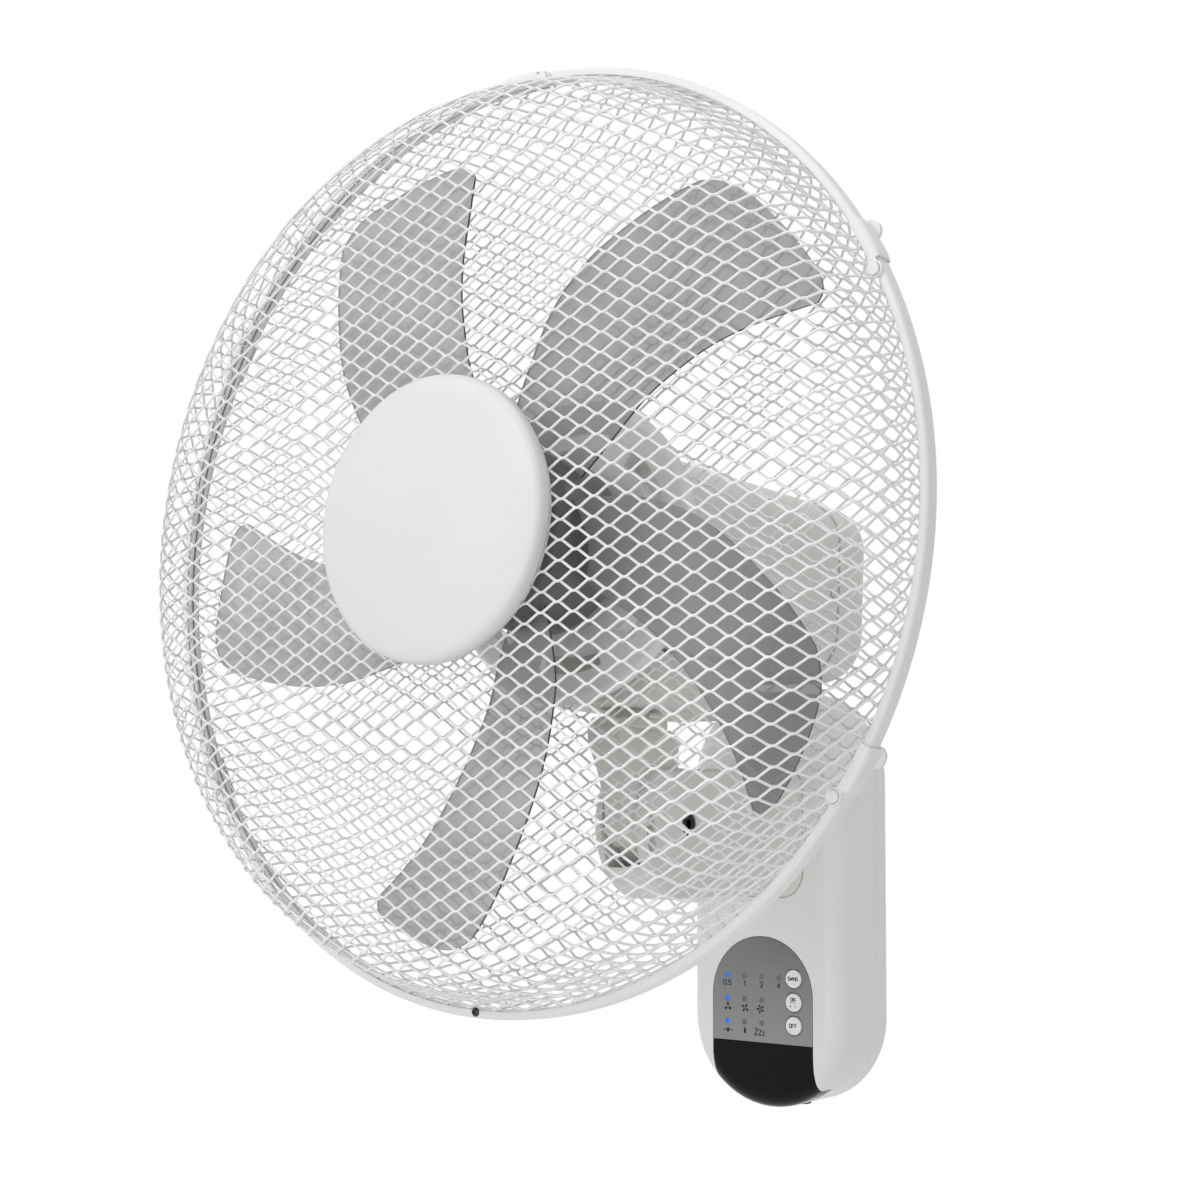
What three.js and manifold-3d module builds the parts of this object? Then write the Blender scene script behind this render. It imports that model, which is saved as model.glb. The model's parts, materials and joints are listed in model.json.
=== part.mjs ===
// A wall mounted fan with a swinging, tilting head, five swept blades behind a dished wire guard, and a
// wall housing with a panel of three push buttons. Millimetres, +Z up, the fan faces -Y and the wall is y = 0.
// The origin is the middle of the wall plate's back face.
import * as THREE from "three";
import { mergeVertices } from "three/addons/utils/BufferGeometryUtils.js";
import Module from "manifold-3d";

const wasm = await Module();
wasm.setup();

// ---------------------------------------------------------------- driving dimensions
const GAP = 0.3; // clearance between pieces that touch or run on each other
const WALL = 2.4; // moulded shells

// wall housing
const HOUSING_RADIUS = 48; // round ends, and half of its width
const HOUSING_STRAIGHT = 128; // straight sides between the round ends
const HOUSING_DEPTH = 50.5;
const HOUSING_EDGE = 12; // rounding between front and sides
const BACK_SHELL_DEPTH = 10;
const BRACKET_WIDTH = 60;
const BRACKET_HEIGHT = 150;
const BRACKET_THICK = 2;
const KEYHOLE_SPACING = 90;
const KEYHOLE_HEAD_RADIUS = 5;
const KEYHOLE_SLOT_RADIUS = 2.6;
const HOOK_WIDTH = 14;
const HOOK_REACH = 5;
const HOOK_LIP = 7;
const SHELL_SCREW_X = 30;
const SHELL_SCREW_Z = BRACKET_HEIGHT / 2 + 9;

// control panel
const PANEL_HALF_WIDTH = 31.5;
const PANEL_ARCH_Z = -51.5; // centre of the arched top
const PANEL_BOTTOM_Z = -76.5;
const PANEL_THICK = 1.2;
const WINDOW_FLARE_X = 39; // half width of the receiver window where it wraps round the bottom
const WINDOW_FLARE_Z = -99;
const WINDOW_BACK_Y = -30;
const ROW_Z = [-41.4, -53.9, -66.2]; // rows of lights and buttons
const LIGHT_X = [-22, -11, 0, 11];
const LIGHTS_IN_ROW = [4, 3, 3];
const LIGHT_RADIUS = 1.5;
const BUTTON_X = 20.3;
const BUTTON_RADIUS = 5.1;
const BUTTON_PROUD = 1.4;
const BUTTON_TRAVEL = 1;
const BOARD_Y = -40; // front face of the control board
const BOARD_THICK = 1.6;
const GLAND_RADIUS = 6;

// support arm and tilt joint
const PIVOT_Y = -140.06; // tilt axis, ahead of the wall
const PIVOT_Z = 42.34;
const ARM_HALF_WIDTH = 15.5;
const ARM_RADIUS = 39; // round cheeks about the tilt axis
const ARM_TOP_Z = 70;
const ARM_BOTTOM_Z = 5;
const ROOT_HALF_WIDTH = 27; // the arm spreads out where it leaves the housing
const ROOT_LOW = -3;
const ROOT_HIGH = 75;
const ROOT_CORNER = 14;
const ROOT_LENGTH = 26;
const CRADLE = 2.8; // skin under the neck's round foot
const ARM_FLANGE = 5;
const CHEEK = 5;
const TILT_REST = THREE.MathUtils.degToRad(3.8); // the head looks this far up, at its upper stop
const TILT_RANGE = THREE.MathUtils.degToRad(22);
const TILT_PIN_RADIUS = 4;
const TILT_HEAD_RADIUS = 5.9;
const TILT_RECESS = 3.4; // counterbore for each pin head
const TILT_HEAD = 1.6;
const STOP_RADIUS = 33; // stop stub about the tilt axis
const STOP_STUB = 2.6;

// neck and swing joint, measured from the tilt axis in the head's own tilted frame
const SWING_Y = -33;
const NECK_DRUM_RADIUS = 28;
const NECK_SIDE = [[-3, -10], [-3, 46], [-55, 46], [-53, 36], [-45, 24], [-38.2, 8], [-37.8, -5], [-30, -14]]; // (y, z)
const NECK_TOP = 50;
const NECK_PLATE = 5;
const NECK_PLATE_RADIUS = 19;
const SWING_PIN_RADIUS = 6;
const SWING_PIN_TOP = 74;
const GEAR_MODULE = 1.5;
const GEAR_TEETH = 32;
const PINION_TEETH = 10;
const GEAR_Z = 62;
const GEAR_THICK = 5;
const TOOTH_PLAY = 0.35;

// head
const FAN_AXIS_UP = 126; // fan axis above the tilt axis
const RIM_AHEAD = 130; // guard ring's middle plane ahead of the tilt axis
const MOTOR_HALF_WIDTH = 48;
const MOTOR_BELOW = 45; // below and above the fan axis
const MOTOR_ABOVE = 51;
const MOTOR_CORNER = 24;
const MOTOR_FRONT = 52; // distances behind the ring's middle plane
const MOTOR_SEAM = 215;
const MOTOR_REAR = 250;
const BASE_HALF_WIDTH = 34;
const BASE_FRONT = -69;
const BASE_REAR = 35;
const SNOUT_RADIUS = 18;
const SNOUT_FRONT = 38;

// guards, radii about the fan axis
const RING_RADIUS = 220;
const RING_LIP = 6.6; // how far the channel reaches inwards
const RING_INNER = RING_RADIUS - RING_LIP;
const RING_HALF = 8;
const RING_WALL = 2;
const RIM_SEAT = 5.8; // rim wires sit this far inside the ring's outer face
const RIM_RADIUS = RING_RADIUS - RIM_SEAT; // centre of the guards' rim wires
const RIM_PLANE = 3.4;
const WALL_DRAW = 8.2; // the guards' side walls draw in from the rim
const WALL_RADIUS = RIM_RADIUS - WALL_DRAW;
const SHOULDER_ROUND = 20;
const SHOULDER_RADIUS = WALL_RADIUS - SHOULDER_ROUND;
const FRONT_SHOULDER = 43;
const FRONT_DEPTH = 50;
const REAR_SHOULDER = 38;
const REAR_DEPTH = 47.5;
const CELL_WIDTH = 53; // one diamond of the mesh
const CELL_HEIGHT = 36;
const MESH_WIRE = 2.6; // width of a wire
const MESH_THICK = 2.4;
const SNAP = 6; // crossings this near a ring wire are moved onto it
const CAP_RADIUS = 65;
const CAP_THICK = 8.5;
const CAP_RING = 60;
const PLATE_RADIUS = 74;
const PLATE_RING = 70;

// clips and screw on the ring
const CLIP_ANGLES = [30, 90, 150, 210, -30];
const CLIP_SPAN = 6.5; // degrees along the ring
const CLIP_WALL = 2.2;
const CLIP_PIVOT_INSET = 3.6;
const CLIP_PIVOT_RADIUS = RING_RADIUS - CLIP_PIVOT_INSET;
const CLIP_PIN = 2;
const CLIP_HEEL = 2.4; // the clip's outer wall starts this far from its pin, so that it can turn
const RING_SCREW_ANGLE = -91;

// rotating parts
const BLADES = 5;
const BLADE_ANGLE = 43; // tip centre of the first blade, anticlockwise from +X seen from the front
const TIP_CLEARANCE = 11; // between the blade tips and the guards' side walls
const BLADE_TIP = WALL_RADIUS - TIP_CLEARANCE;
const BLADE_THICK = 2.2;
const TRAILING_EDGE = [[38, 54], [60, 46], [90, 38], [120, 29], [152, 20], [178, 13], [196, 9]];
const LEADING_EDGE = [[38, 12], [60, 5], [90, -3], [120, -8], [152, -11], [178, -12], [196, -12]];
const HUB_RADIUS = 42;
const HUB_FRONT = -18;
const HUB_REAR = 30;
const SHAFT_RADIUS = 4;
const SHAFT_FRONT = -34;
const SHAFT_REAR = 138;
const STATOR_RADIUS = 40;
const STATOR_FRONT = 82;
const STATOR_REAR = 122;
const ROTOR_RADIUS = 22;
const BEARING_RADIUS = 9;
const BRACKET_PLATE = 6;

// ---------------------------------------------------------------- helpers
const V = (x, y, z) => new THREE.Vector3(x, y, z);
const rad = THREE.MathUtils.degToRad;

function volumeOf(geometry) {
  const p = geometry.getAttribute("position");
  const index = geometry.index.array;
  let sum = 0;
  for (let i = 0; i < index.length; i += 3) {
    const [a, b, c] = [0, 1, 2].map((k) => new THREE.Vector3().fromBufferAttribute(p, index[i + k]));
    sum += a.dot(b.cross(c)) / 6;
  }
  return sum;
}

// A closed geometry with shared corners and its faces pointing out.
function sealed(geometry) {
  const bare = new THREE.BufferGeometry();
  bare.setAttribute("position", geometry.getAttribute("position").clone());
  if (geometry.index) bare.setIndex(Array.from(geometry.index.array));
  const merged = mergeVertices(bare, 1e-4);
  const kept = [];
  const index = merged.index.array;
  for (let i = 0; i < index.length; i += 3) {
    const [a, b, c] = [index[i], index[i + 1], index[i + 2]];
    if (a !== b && b !== c && c !== a) kept.push(a, b, c);
  }
  merged.setIndex(kept);
  if (volumeOf(merged) < 0) {
    for (let i = 0; i < kept.length; i += 3) [kept[i + 1], kept[i + 2]] = [kept[i + 2], kept[i + 1]];
    merged.setIndex(kept);
  }
  return merged;
}

function solid(geometry) {
  const g = sealed(geometry);
  return new wasm.Manifold(new wasm.Mesh({
    numProp: 3,
    vertProperties: new Float32Array(g.getAttribute("position").array),
    triVerts: new Uint32Array(g.index.array),
  }));
}

function geometryOf(manifold) {
  const mesh = manifold.getMesh();
  const g = new THREE.BufferGeometry();
  g.setAttribute("position", new THREE.BufferAttribute(new Float32Array(mesh.vertProperties), 3));
  g.setIndex(Array.from(mesh.triVerts));
  return g;
}

const join = (first, ...rest) => geometryOf(rest.reduce((all, g) => all.add(solid(g)), solid(first)));
const cut = (first, ...rest) => geometryOf(rest.reduce((all, g) => all.subtract(solid(g)), solid(first)));
const common = (a, b) => geometryOf(solid(a).intersect(solid(b)));

const moved = (g, x, y, z) => g.clone().translate(x, y, z);

function box(x0, x1, y0, y1, z0, z1) {
  return new THREE.BoxGeometry(x1 - x0, y1 - y0, z1 - z0)
    .translate((x0 + x1) / 2, (y0 + y1) / 2, (z0 + z1) / 2);
}

// Cylinders along each axis, between two stations.
function rodY(radius, y0, y1, sides = 24, x = 0, z = 0) {
  return new THREE.CylinderGeometry(radius, radius, y1 - y0, sides).translate(x, (y0 + y1) / 2, z);
}
function rodX(radius, x0, x1, sides = 24, y = 0, z = 0) {
  return new THREE.CylinderGeometry(radius, radius, x1 - x0, sides).rotateZ(Math.PI / 2)
    .translate((x0 + x1) / 2, y, z);
}
function rodZ(radius, z0, z1, sides = 24, x = 0, y = 0) {
  return new THREE.CylinderGeometry(radius, radius, z1 - z0, sides).rotateX(Math.PI / 2)
    .translate(x, y, (z0 + z1) / 2);
}

// A ring of a closed profile [radius, y] about the Y axis.
function turned(profile, sides = 36) {
  const points = profile.map(([r, y]) => new THREE.Vector2(r, y));
  if (profile[0][0] > 0) points.push(points[0].clone());
  return new THREE.LatheGeometry(points, sides);
}

// An outline in (x, z), pushed from the wall side y = back forward by its depth.
function forward(shape, back, depth, curveSegments = 10) {
  return new THREE.ExtrudeGeometry(shape, { depth, bevelEnabled: false, curveSegments })
    .rotateX(Math.PI / 2).translate(0, back, 0);
}

// Rings of equal point counts joined by bands and closed by fans.
function loft(rings) {
  const count = rings[0].length;
  const positions = [];
  const faces = [];
  for (const ring of rings) for (const p of ring) positions.push(p.x, p.y, p.z);
  for (let i = 0; i < rings.length - 1; i++) {
    for (let j = 0; j < count; j++) {
      const [a, b] = [i * count + j, i * count + (j + 1) % count];
      faces.push(a, b, b + count, a, b + count, a + count);
    }
  }
  for (const [ring, start, turn] of [[rings[0], 0, true], [rings.at(-1), (rings.length - 1) * count, false]]) {
    const middle = ring.reduce((sum, p) => sum.add(p), V(0, 0, 0)).divideScalar(count);
    const centre = positions.length / 3;
    positions.push(middle.x, middle.y, middle.z);
    for (let j = 0; j < count; j++) {
      const [a, b] = [start + j, start + (j + 1) % count];
      faces.push(...(turn ? [centre, b, a] : [centre, a, b]));
    }
  }
  const g = new THREE.BufferGeometry();
  g.setAttribute("position", new THREE.Float32BufferAttribute(positions, 3));
  g.setIndex(faces);
  return g;
}

// Corners of a rectangle with round corners about (0, middle), as points in the plane of one y.
function roundedRing(halfWidth, low, high, corner, y, steps = 5) {
  const ring = [];
  const centres = [[1, 1], [-1, 1], [-1, -1], [1, -1]];
  centres.forEach(([sx, sz], quarter) => {
    const cx = sx * (halfWidth - corner);
    const cz = sz > 0 ? high - corner : low + corner;
    for (let i = 0; i <= steps; i++) {
      const angle = Math.PI / 2 * (quarter + i / steps);
      ring.push(V(cx + corner * Math.cos(angle), y, cz + corner * Math.sin(angle)));
    }
  });
  return ring;
}

// The housing's outline with round ends, drawn in by an inset, at one y.
function housingRing(inset, y, steps = 9) {
  const r = HOUSING_RADIUS - inset;
  const ring = [];
  for (const [side, start] of [[1, 0], [-1, Math.PI]]) {
    for (let i = 0; i <= steps; i++) {
      const angle = start + Math.PI * i / steps;
      ring.push(V(r * Math.cos(angle), y, side * HOUSING_STRAIGHT / 2 + r * Math.sin(angle)));
    }
  }
  return ring;
}

const material = (color, roughness = 0.5, metalness = 0, opacity = 1) =>
  new THREE.MeshStandardMaterial({ color, roughness, metalness, opacity, transparent: opacity < 1 });

const looks = {
  white: material(0xe9eae9, 0.42),
  wire: material(0xf0f1f0, 0.35),
  blade: material(0x8b8d90, 0.2, 0, 0.6),
  panel: material(0x85888c, 0.4),
  black: material(0x0c0c0e, 0.08),
  dark: material(0x2c2d2f, 0.5),
  steel: material(0xb9bbbd, 0.35, 0.9),
  copper: material(0x9a5a32, 0.45, 0.6),
  lamination: material(0x6e7073, 0.5, 0.7),
  alloy: material(0xc3c5c7, 0.4, 0.8),
  board: material(0x2f6b45, 0.55),
  light: material(0x3f8fe0, 0.2),
  nylon: material(0xf2f1ec, 0.5),
};

const fan = new THREE.Group();

function add(group, name, geometry, look) {
  const mesh = new THREE.Mesh(sealed(geometry), look);
  mesh.name = name;
  group.add(mesh);
  return mesh;
}

// ---------------------------------------------------------------- wall housing
const FRONT_Y = -HOUSING_DEPTH;
const INNER_Y = FRONT_Y + WALL;
const SEAM_Y = -BACK_SHELL_DEPTH;

// Front half of the housing's form from the seam forward, drawn in by an inset.
function frontForm(inset, seam) {
  const rings = [housingRing(inset, seam)];
  const steps = 3;
  const edge = HOUSING_EDGE - inset / 2;
  for (let i = 0; i <= steps; i++) {
    const angle = Math.PI / 2 * i / steps;
    rings.push(housingRing(inset + edge * (1 - Math.cos(angle)),
      FRONT_Y + inset + edge * (1 - Math.sin(angle))));
  }
  return loft(rings);
}

function panelOutline(margin) {
  const half = PANEL_HALF_WIDTH + margin;
  const shape = new THREE.Shape();
  shape.moveTo(half, PANEL_BOTTOM_Z - margin);
  shape.lineTo(half, PANEL_ARCH_Z);
  shape.absarc(0, PANEL_ARCH_Z, half, 0, Math.PI);
  shape.lineTo(-half, PANEL_BOTTOM_Z - margin);
  return shape;
}

// The receiver window: below the panel, flaring out where it wraps round the bottom.
function windowOutline(margin) {
  const half = PANEL_HALF_WIDTH + margin;
  const top = PANEL_BOTTOM_Z - GAP + margin;
  const bottom = -HOUSING_STRAIGHT / 2 - HOUSING_RADIUS - 2;
  const shape = new THREE.Shape();
  shape.moveTo(-half, top);
  shape.quadraticCurveTo(-half, WINDOW_FLARE_Z + 8, -WINDOW_FLARE_X - margin, WINDOW_FLARE_Z);
  shape.lineTo(-WINDOW_FLARE_X - margin, bottom);
  shape.lineTo(WINDOW_FLARE_X + margin, bottom);
  shape.lineTo(WINDOW_FLARE_X + margin, WINDOW_FLARE_Z);
  shape.quadraticCurveTo(half, WINDOW_FLARE_Z + 8, half, top);
  return shape;
}

const lightPlaces = ROW_Z.flatMap((z, row) => LIGHT_X.slice(0, LIGHTS_IN_ROW[row]).map((x) => [x, z]));
const armOpening = (margin) => loft([FRONT_Y + 15, FRONT_Y - 5].map((y) => roundedRing(ROOT_HALF_WIDTH + margin,
  ROOT_LOW - margin, ROOT_HIGH + margin, ROOT_CORNER + margin, y, 3)));

function wallBracket() {
  const [w, h] = [BRACKET_WIDTH / 2, BRACKET_HEIGHT / 2];
  let plate = forward(new THREE.Shape([[-w, -h], [w, -h], [w, h], [-w, h]]
    .map(([x, z]) => new THREE.Vector2(x, z))), 0, BRACKET_THICK);
  const keyholes = [-1, 1].flatMap((side) => {
    const z = side * KEYHOLE_SPACING / 2;
    return [
      rodY(KEYHOLE_HEAD_RADIUS, -BRACKET_THICK - 1, 1, 16, 0, z),
      rodY(KEYHOLE_SLOT_RADIUS, -BRACKET_THICK - 1, 1, 12, 0, z + 9),
      box(-KEYHOLE_SLOT_RADIUS, KEYHOLE_SLOT_RADIUS, -BRACKET_THICK - 1, 1, z, z + 9),
    ];
  });
  const hooks = [-1, 1].flatMap((side) => {
    const z = side * (h - 12);
    const half = HOOK_WIDTH / 2;
    return [
      box(-half, half, -BRACKET_THICK - HOOK_REACH, -BRACKET_THICK / 2, z - 1, z + 1),
      box(-half, half, -BRACKET_THICK - HOOK_REACH, -BRACKET_THICK - HOOK_REACH + 2, z - 1, z + HOOK_LIP),
    ];
  });
  plate = cut(plate, ...keyholes);
  return join(plate, ...hooks);
}

function backShell() {
  const body = loft([housingRing(0, 0), housingRing(0, SEAM_Y)]);
  const floor = BRACKET_THICK + GAP + WALL;
  const pocket = loft([housingRing(WALL, -floor), housingRing(WALL, SEAM_Y - 1)]);
  const [w, h] = [BRACKET_WIDTH / 2 + GAP, BRACKET_HEIGHT / 2 + GAP];
  const recess = box(-w, w, -BRACKET_THICK - GAP, 1, -h, h);
  const half = HOOK_WIDTH / 2 + GAP;
  const slots = [-1, 1].map((side) => {
    const z = side * (BRACKET_HEIGHT / 2 - 12);
    return box(-half, half, -floor - 1, 0, z - 1 - GAP, z + HOOK_LIP + GAP);
  });
  const gland = rodZ(GLAND_RADIUS + GAP, -HOUSING_STRAIGHT / 2 - HOUSING_RADIUS - 2,
    -HOUSING_STRAIGHT / 2 - HOUSING_RADIUS + 8, 16, 0, SEAM_Y);
  return cut(body, pocket, recess, ...slots, gland, ...screwPlaces().flatMap(([x, z]) => [
    rodY(1.9, SEAM_Y - 1, 1, 6, x, z),
    rodY(3.6, -2.6, 1, 8, x, z),
  ]));
}

const screwPlaces = () => [[SHELL_SCREW_X, SHELL_SCREW_Z], [-SHELL_SCREW_X, SHELL_SCREW_Z]];

function frontShell() {
  const hollow = cut(frontForm(0, SEAM_Y - GAP), frontForm(WALL, SEAM_Y + 1));
  const withPosts = join(hollow, ...[-1, 1].map((side) =>
    rodY(3, INNER_Y - 0.5, BOARD_Y - GAP, 6, side * 24, -28)),
  ...screwPlaces().map(([x, z]) => rodY(3.4, FRONT_Y + 1.2, SEAM_Y - 1, 8, x, z)));
  return cut(withPosts,
    forward(panelOutline(GAP), FRONT_Y + PANEL_THICK - 0.2 + GAP, 10),
    box(-PANEL_HALF_WIDTH + 4, PANEL_HALF_WIDTH - 4, FRONT_Y - 1, INNER_Y + 1, PANEL_BOTTOM_Z + 4, -31),
    forward(windowOutline(GAP), WINDOW_BACK_Y + GAP, 40),
    armOpening(GAP),
    rodZ(GLAND_RADIUS + GAP, -HOUSING_STRAIGHT / 2 - HOUSING_RADIUS - 2,
      -HOUSING_STRAIGHT / 2 - HOUSING_RADIUS + 8, 16, 0, SEAM_Y),
    ...screwPlaces().map(([x, z]) => rodY(1.7, SEAM_Y - 14, SEAM_Y + 2, 6, x, z)));
}

function controlPanel() {
  const plate = forward(panelOutline(0), FRONT_Y + PANEL_THICK - 0.2, PANEL_THICK);
  return cut(plate,
    ...lightPlaces.map(([x, z]) => rodY(LIGHT_RADIUS + GAP, FRONT_Y - 3, INNER_Y + 2, 6, x, z)),
    ...ROW_Z.map((z) => rodY(BUTTON_RADIUS + GAP, FRONT_Y - 3, INNER_Y + 2, 12, BUTTON_X, z)));
}

function receiverWindow() {
  return common(cut(frontForm(0, WINDOW_BACK_Y), frontForm(WALL, WINDOW_BACK_Y + 1)),
    forward(windowOutline(0), WINDOW_BACK_Y, 40));
}

function lightGuide() {
  const back = FRONT_Y + 4.5;
  const right = LIGHT_X.at(-1) + 2;
  const plate = box(LIGHT_X[0] - 4, right, back - 1.5, back, ROW_Z[2] - 4, ROW_Z[0] + 4);
  const pins = lightPlaces.map(([x, z]) => rodY(LIGHT_RADIUS, FRONT_Y - 0.4, back - 0.5, 6, x, z));
  const legs = [-1, 1].map((side) => rodY(1.6, back - 0.5, BOARD_Y - GAP, 6, LIGHT_X[1] + side * 8,
    ROW_Z[1] + side * 10));
  return join(plate, ...pins, ...legs);
}

function pushButton(z) {
  const back = FRONT_Y + 6.3;
  const plunger = rodY(BUTTON_RADIUS, FRONT_Y - BUTTON_PROUD, back, 12, BUTTON_X, z);
  const flange = rodY(BUTTON_RADIUS + 0.9, FRONT_Y + 3.2, FRONT_Y + 4.4, 12, BUTTON_X, z);
  return join(plunger, flange);
}

function controlBoard() {
  const front = BOARD_Y;
  const plate = box(-28, 28, front, front + BOARD_THICK, PANEL_BOTTOM_Z - 2, -22);
  const tongue = box(-9, 9, front, front + BOARD_THICK, PANEL_BOTTOM_Z - 14, PANEL_BOTTOM_Z);
  const switchTop = FRONT_Y + 6.3 + BUTTON_TRAVEL + GAP;
  const switches = ROW_Z.map((z) => box(BUTTON_X - 3, BUTTON_X + 3, switchTop + 1, front + 0.5, z - 3, z + 3));
  const domes = ROW_Z.map((z) => rodY(1.7, switchTop, switchTop + 1.5, 6, BUTTON_X, z));
  return join(plate, tongue, ...switches, ...domes);
}

function cordGland() {
  const bottom = -HOUSING_STRAIGHT / 2 - HOUSING_RADIUS;
  const body = turned([[2.6, -4], [GLAND_RADIUS - 1, -4], [GLAND_RADIUS - 1, -1], [GLAND_RADIUS, -1],
    [GLAND_RADIUS, 1.5], [4.6, 1.5], [4.6, 6], [2.6, 6]], 12);
  return body.rotateX(Math.PI / 2).translate(0, SEAM_Y, bottom + 1);
}

// A pan screw lying along Y, its head towards +Y, with one drive slot.
function screw(length, headRadius, shankRadius, headThick = 2) {
  const body = turned([[0, -length], [shankRadius, -length + 1.5], [shankRadius, 0], [headRadius, 0],
    [headRadius * 0.8, headThick], [0, headThick]], 8);
  return cut(body, box(-headRadius * 0.55, headRadius * 0.55, headThick * 0.45, headThick + 1, -0.35, 0.35));
}

add(fan, "wall_bracket", wallBracket(), looks.steel);
add(fan, "housing_back", backShell(), looks.white);
add(fan, "housing_front", frontShell(), looks.white);
add(fan, "control_panel", controlPanel(), looks.panel);
add(fan, "receiver_window", receiverWindow(), looks.black);
add(fan, "light_guide", lightGuide(), looks.light);
add(fan, "control_board", controlBoard(), looks.board);
add(fan, "infrared_receiver", box(-3, 3, BOARD_Y - 5, BOARD_Y - GAP, PANEL_BOTTOM_Z - 11, PANEL_BOTTOM_Z - 4),
  looks.dark);
add(fan, "cord_gland", cordGland(), looks.dark);
["swing_button", "on_button", "off_button"].forEach((name, i) => add(fan, name, pushButton(ROW_Z[i]), looks.white));
screwPlaces().forEach(([x, z], i) => add(fan, `housing_screw_${i + 1}`,
  screw(10, 3.1, 1.4).translate(x, -2.3, z), looks.steel));

// ---------------------------------------------------------------- support arm
// Side outline in (y, z) about the tilt axis, pushed across by its width, with rounded edges.
function armBlock(rear) {
  const round = 3;
  const r = ARM_RADIUS - round;
  const low = ARM_BOTTOM_Z - PIVOT_Z + round;
  const high = ARM_TOP_Z - PIVOT_Z - round;
  const outline = new THREE.Shape();
  outline.moveTo(rear - PIVOT_Y, low);
  outline.lineTo(-Math.sqrt(r * r - low * low), low);
  outline.absarc(0, 0, r, Math.PI - Math.asin(low / r), Math.PI - Math.asin(high / r), true);
  outline.lineTo(rear - PIVOT_Y, high);
  return across(outline, ARM_HALF_WIDTH, round);
}

// Pushes an outline in (y, z) about the tilt axis across by a half width to each side.
function across(outline, halfWidth, round = 0) {
  const g = new THREE.ExtrudeGeometry(outline, {
    depth: 2 * (halfWidth - round), bevelEnabled: round > 0, bevelThickness: round, bevelSize: round,
    bevelSegments: 1, curveSegments: 9,
  });
  // shape x is y, shape y is z, and the extrusion runs across x
  return g.translate(0, 0, -(halfWidth - round)).applyMatrix4(new THREE.Matrix4().set(
    0, 0, 1, 0, 1, 0, 0, 0, 0, 1, 0, 0, 0, 0, 0, 1));
}

// The arm's root: a round-cornered block that draws in to the arm's own section.
function armRoot() {
  const rings = [roundedRing(ROOT_HALF_WIDTH, ROOT_LOW, ROOT_HIGH, ROOT_CORNER, FRONT_Y + 4, 3)];
  const steps = 4;
  for (let i = 0; i <= steps; i++) {
    const angle = Math.PI / 2 * i / steps;
    const drawn = Math.sin(angle);
    rings.push(roundedRing(THREE.MathUtils.lerp(ROOT_HALF_WIDTH, ARM_HALF_WIDTH - 0.6, drawn),
      THREE.MathUtils.lerp(ROOT_LOW, ARM_BOTTOM_Z + 0.6, drawn), THREE.MathUtils.lerp(ROOT_HIGH, ARM_TOP_Z - 0.6, drawn),
      THREE.MathUtils.lerp(ROOT_CORNER, 4, drawn), FRONT_Y - 1 - ROOT_LENGTH * (1 - Math.cos(angle)), 3));
  }
  return loft(rings);
}

function supportArm() {
  const body = join(armBlock(FRONT_Y + 4).translate(0, PIVOT_Y, PIVOT_Z), armRoot());
  const flange = box(-ROOT_HALF_WIDTH - 4, ROOT_HALF_WIDTH + 4, INNER_Y + 1.1, INNER_Y + 1.1 + ARM_FLANGE,
    ROOT_LOW - 4, ROOT_HIGH + 4);
  const inner = ARM_HALF_WIDTH - CHEEK;
  const round = PIVOT_Z - ARM_BOTTOM_Z - CRADLE;
  const slot = join(rodX(round, -inner, inner, 24, PIVOT_Y, PIVOT_Z),
    box(-inner, inner, PIVOT_Y - ARM_RADIUS - 1, PIVOT_Y, PIVOT_Z - 21, PIVOT_Z + ARM_RADIUS));
  const hollow = box(-inner, inner, FRONT_Y - 60, FRONT_Y + 30, ARM_BOTTOM_Z + 5, ARM_TOP_Z - 5);
  const counterbores = [-1, 1].map((side) => rodX(TILT_HEAD_RADIUS + GAP,
    side > 0 ? ARM_HALF_WIDTH - TILT_RECESS : -ARM_HALF_WIDTH - 1,
    side > 0 ? ARM_HALF_WIDTH + 1 : -ARM_HALF_WIDTH + TILT_RECESS, 16, PIVOT_Y, PIVOT_Z));
  return cut(join(body, flange), slot, hollow,
    rodX(TILT_PIN_RADIUS + GAP, -ARM_HALF_WIDTH - 1, ARM_HALF_WIDTH + 1, 12, PIVOT_Y, PIVOT_Z),
    ...counterbores, arcSlot());
}

// The stop slot in the right cheek: an arc about the tilt axis, from the stub's rest place downwards.
function arcSlot() {
  const radius = STOP_STUB + 0.5;
  const start = Math.PI - TILT_REST;
  const shape = new THREE.Shape();
  const end = start + TILT_RANGE;
  shape.absarc(0, 0, STOP_RADIUS + radius, start, end, false);
  shape.absarc(STOP_RADIUS * Math.cos(end), STOP_RADIUS * Math.sin(end), radius, end, end + Math.PI, false);
  shape.absarc(0, 0, STOP_RADIUS - radius, end, start, true);
  shape.absarc(STOP_RADIUS * Math.cos(start), STOP_RADIUS * Math.sin(start), radius, start + Math.PI,
    start + 2 * Math.PI, false);
  const g = new THREE.ExtrudeGeometry(shape, { depth: 30, bevelEnabled: false, curveSegments: 3 });
  return g.applyMatrix4(new THREE.Matrix4().set(
    0, 0, 1, ARM_HALF_WIDTH - CHEEK - 2, 1, 0, 0, PIVOT_Y, 0, 1, 0, PIVOT_Z, 0, 0, 0, 1));
}

function tiltPin() {
  const head = ARM_HALF_WIDTH - TILT_RECESS + GAP;
  return join(rodX(TILT_PIN_RADIUS, -head - 0.5, head + 0.5, 12),
    rodX(TILT_HEAD_RADIUS, head, head + TILT_HEAD, 16), rodX(TILT_HEAD_RADIUS, -head - TILT_HEAD, -head, 16))
    .translate(0, PIVOT_Y, PIVOT_Z);
}

add(fan, "support_arm", supportArm(), looks.white);
add(fan, "tilt_pin", tiltPin(), looks.steel);

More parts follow.
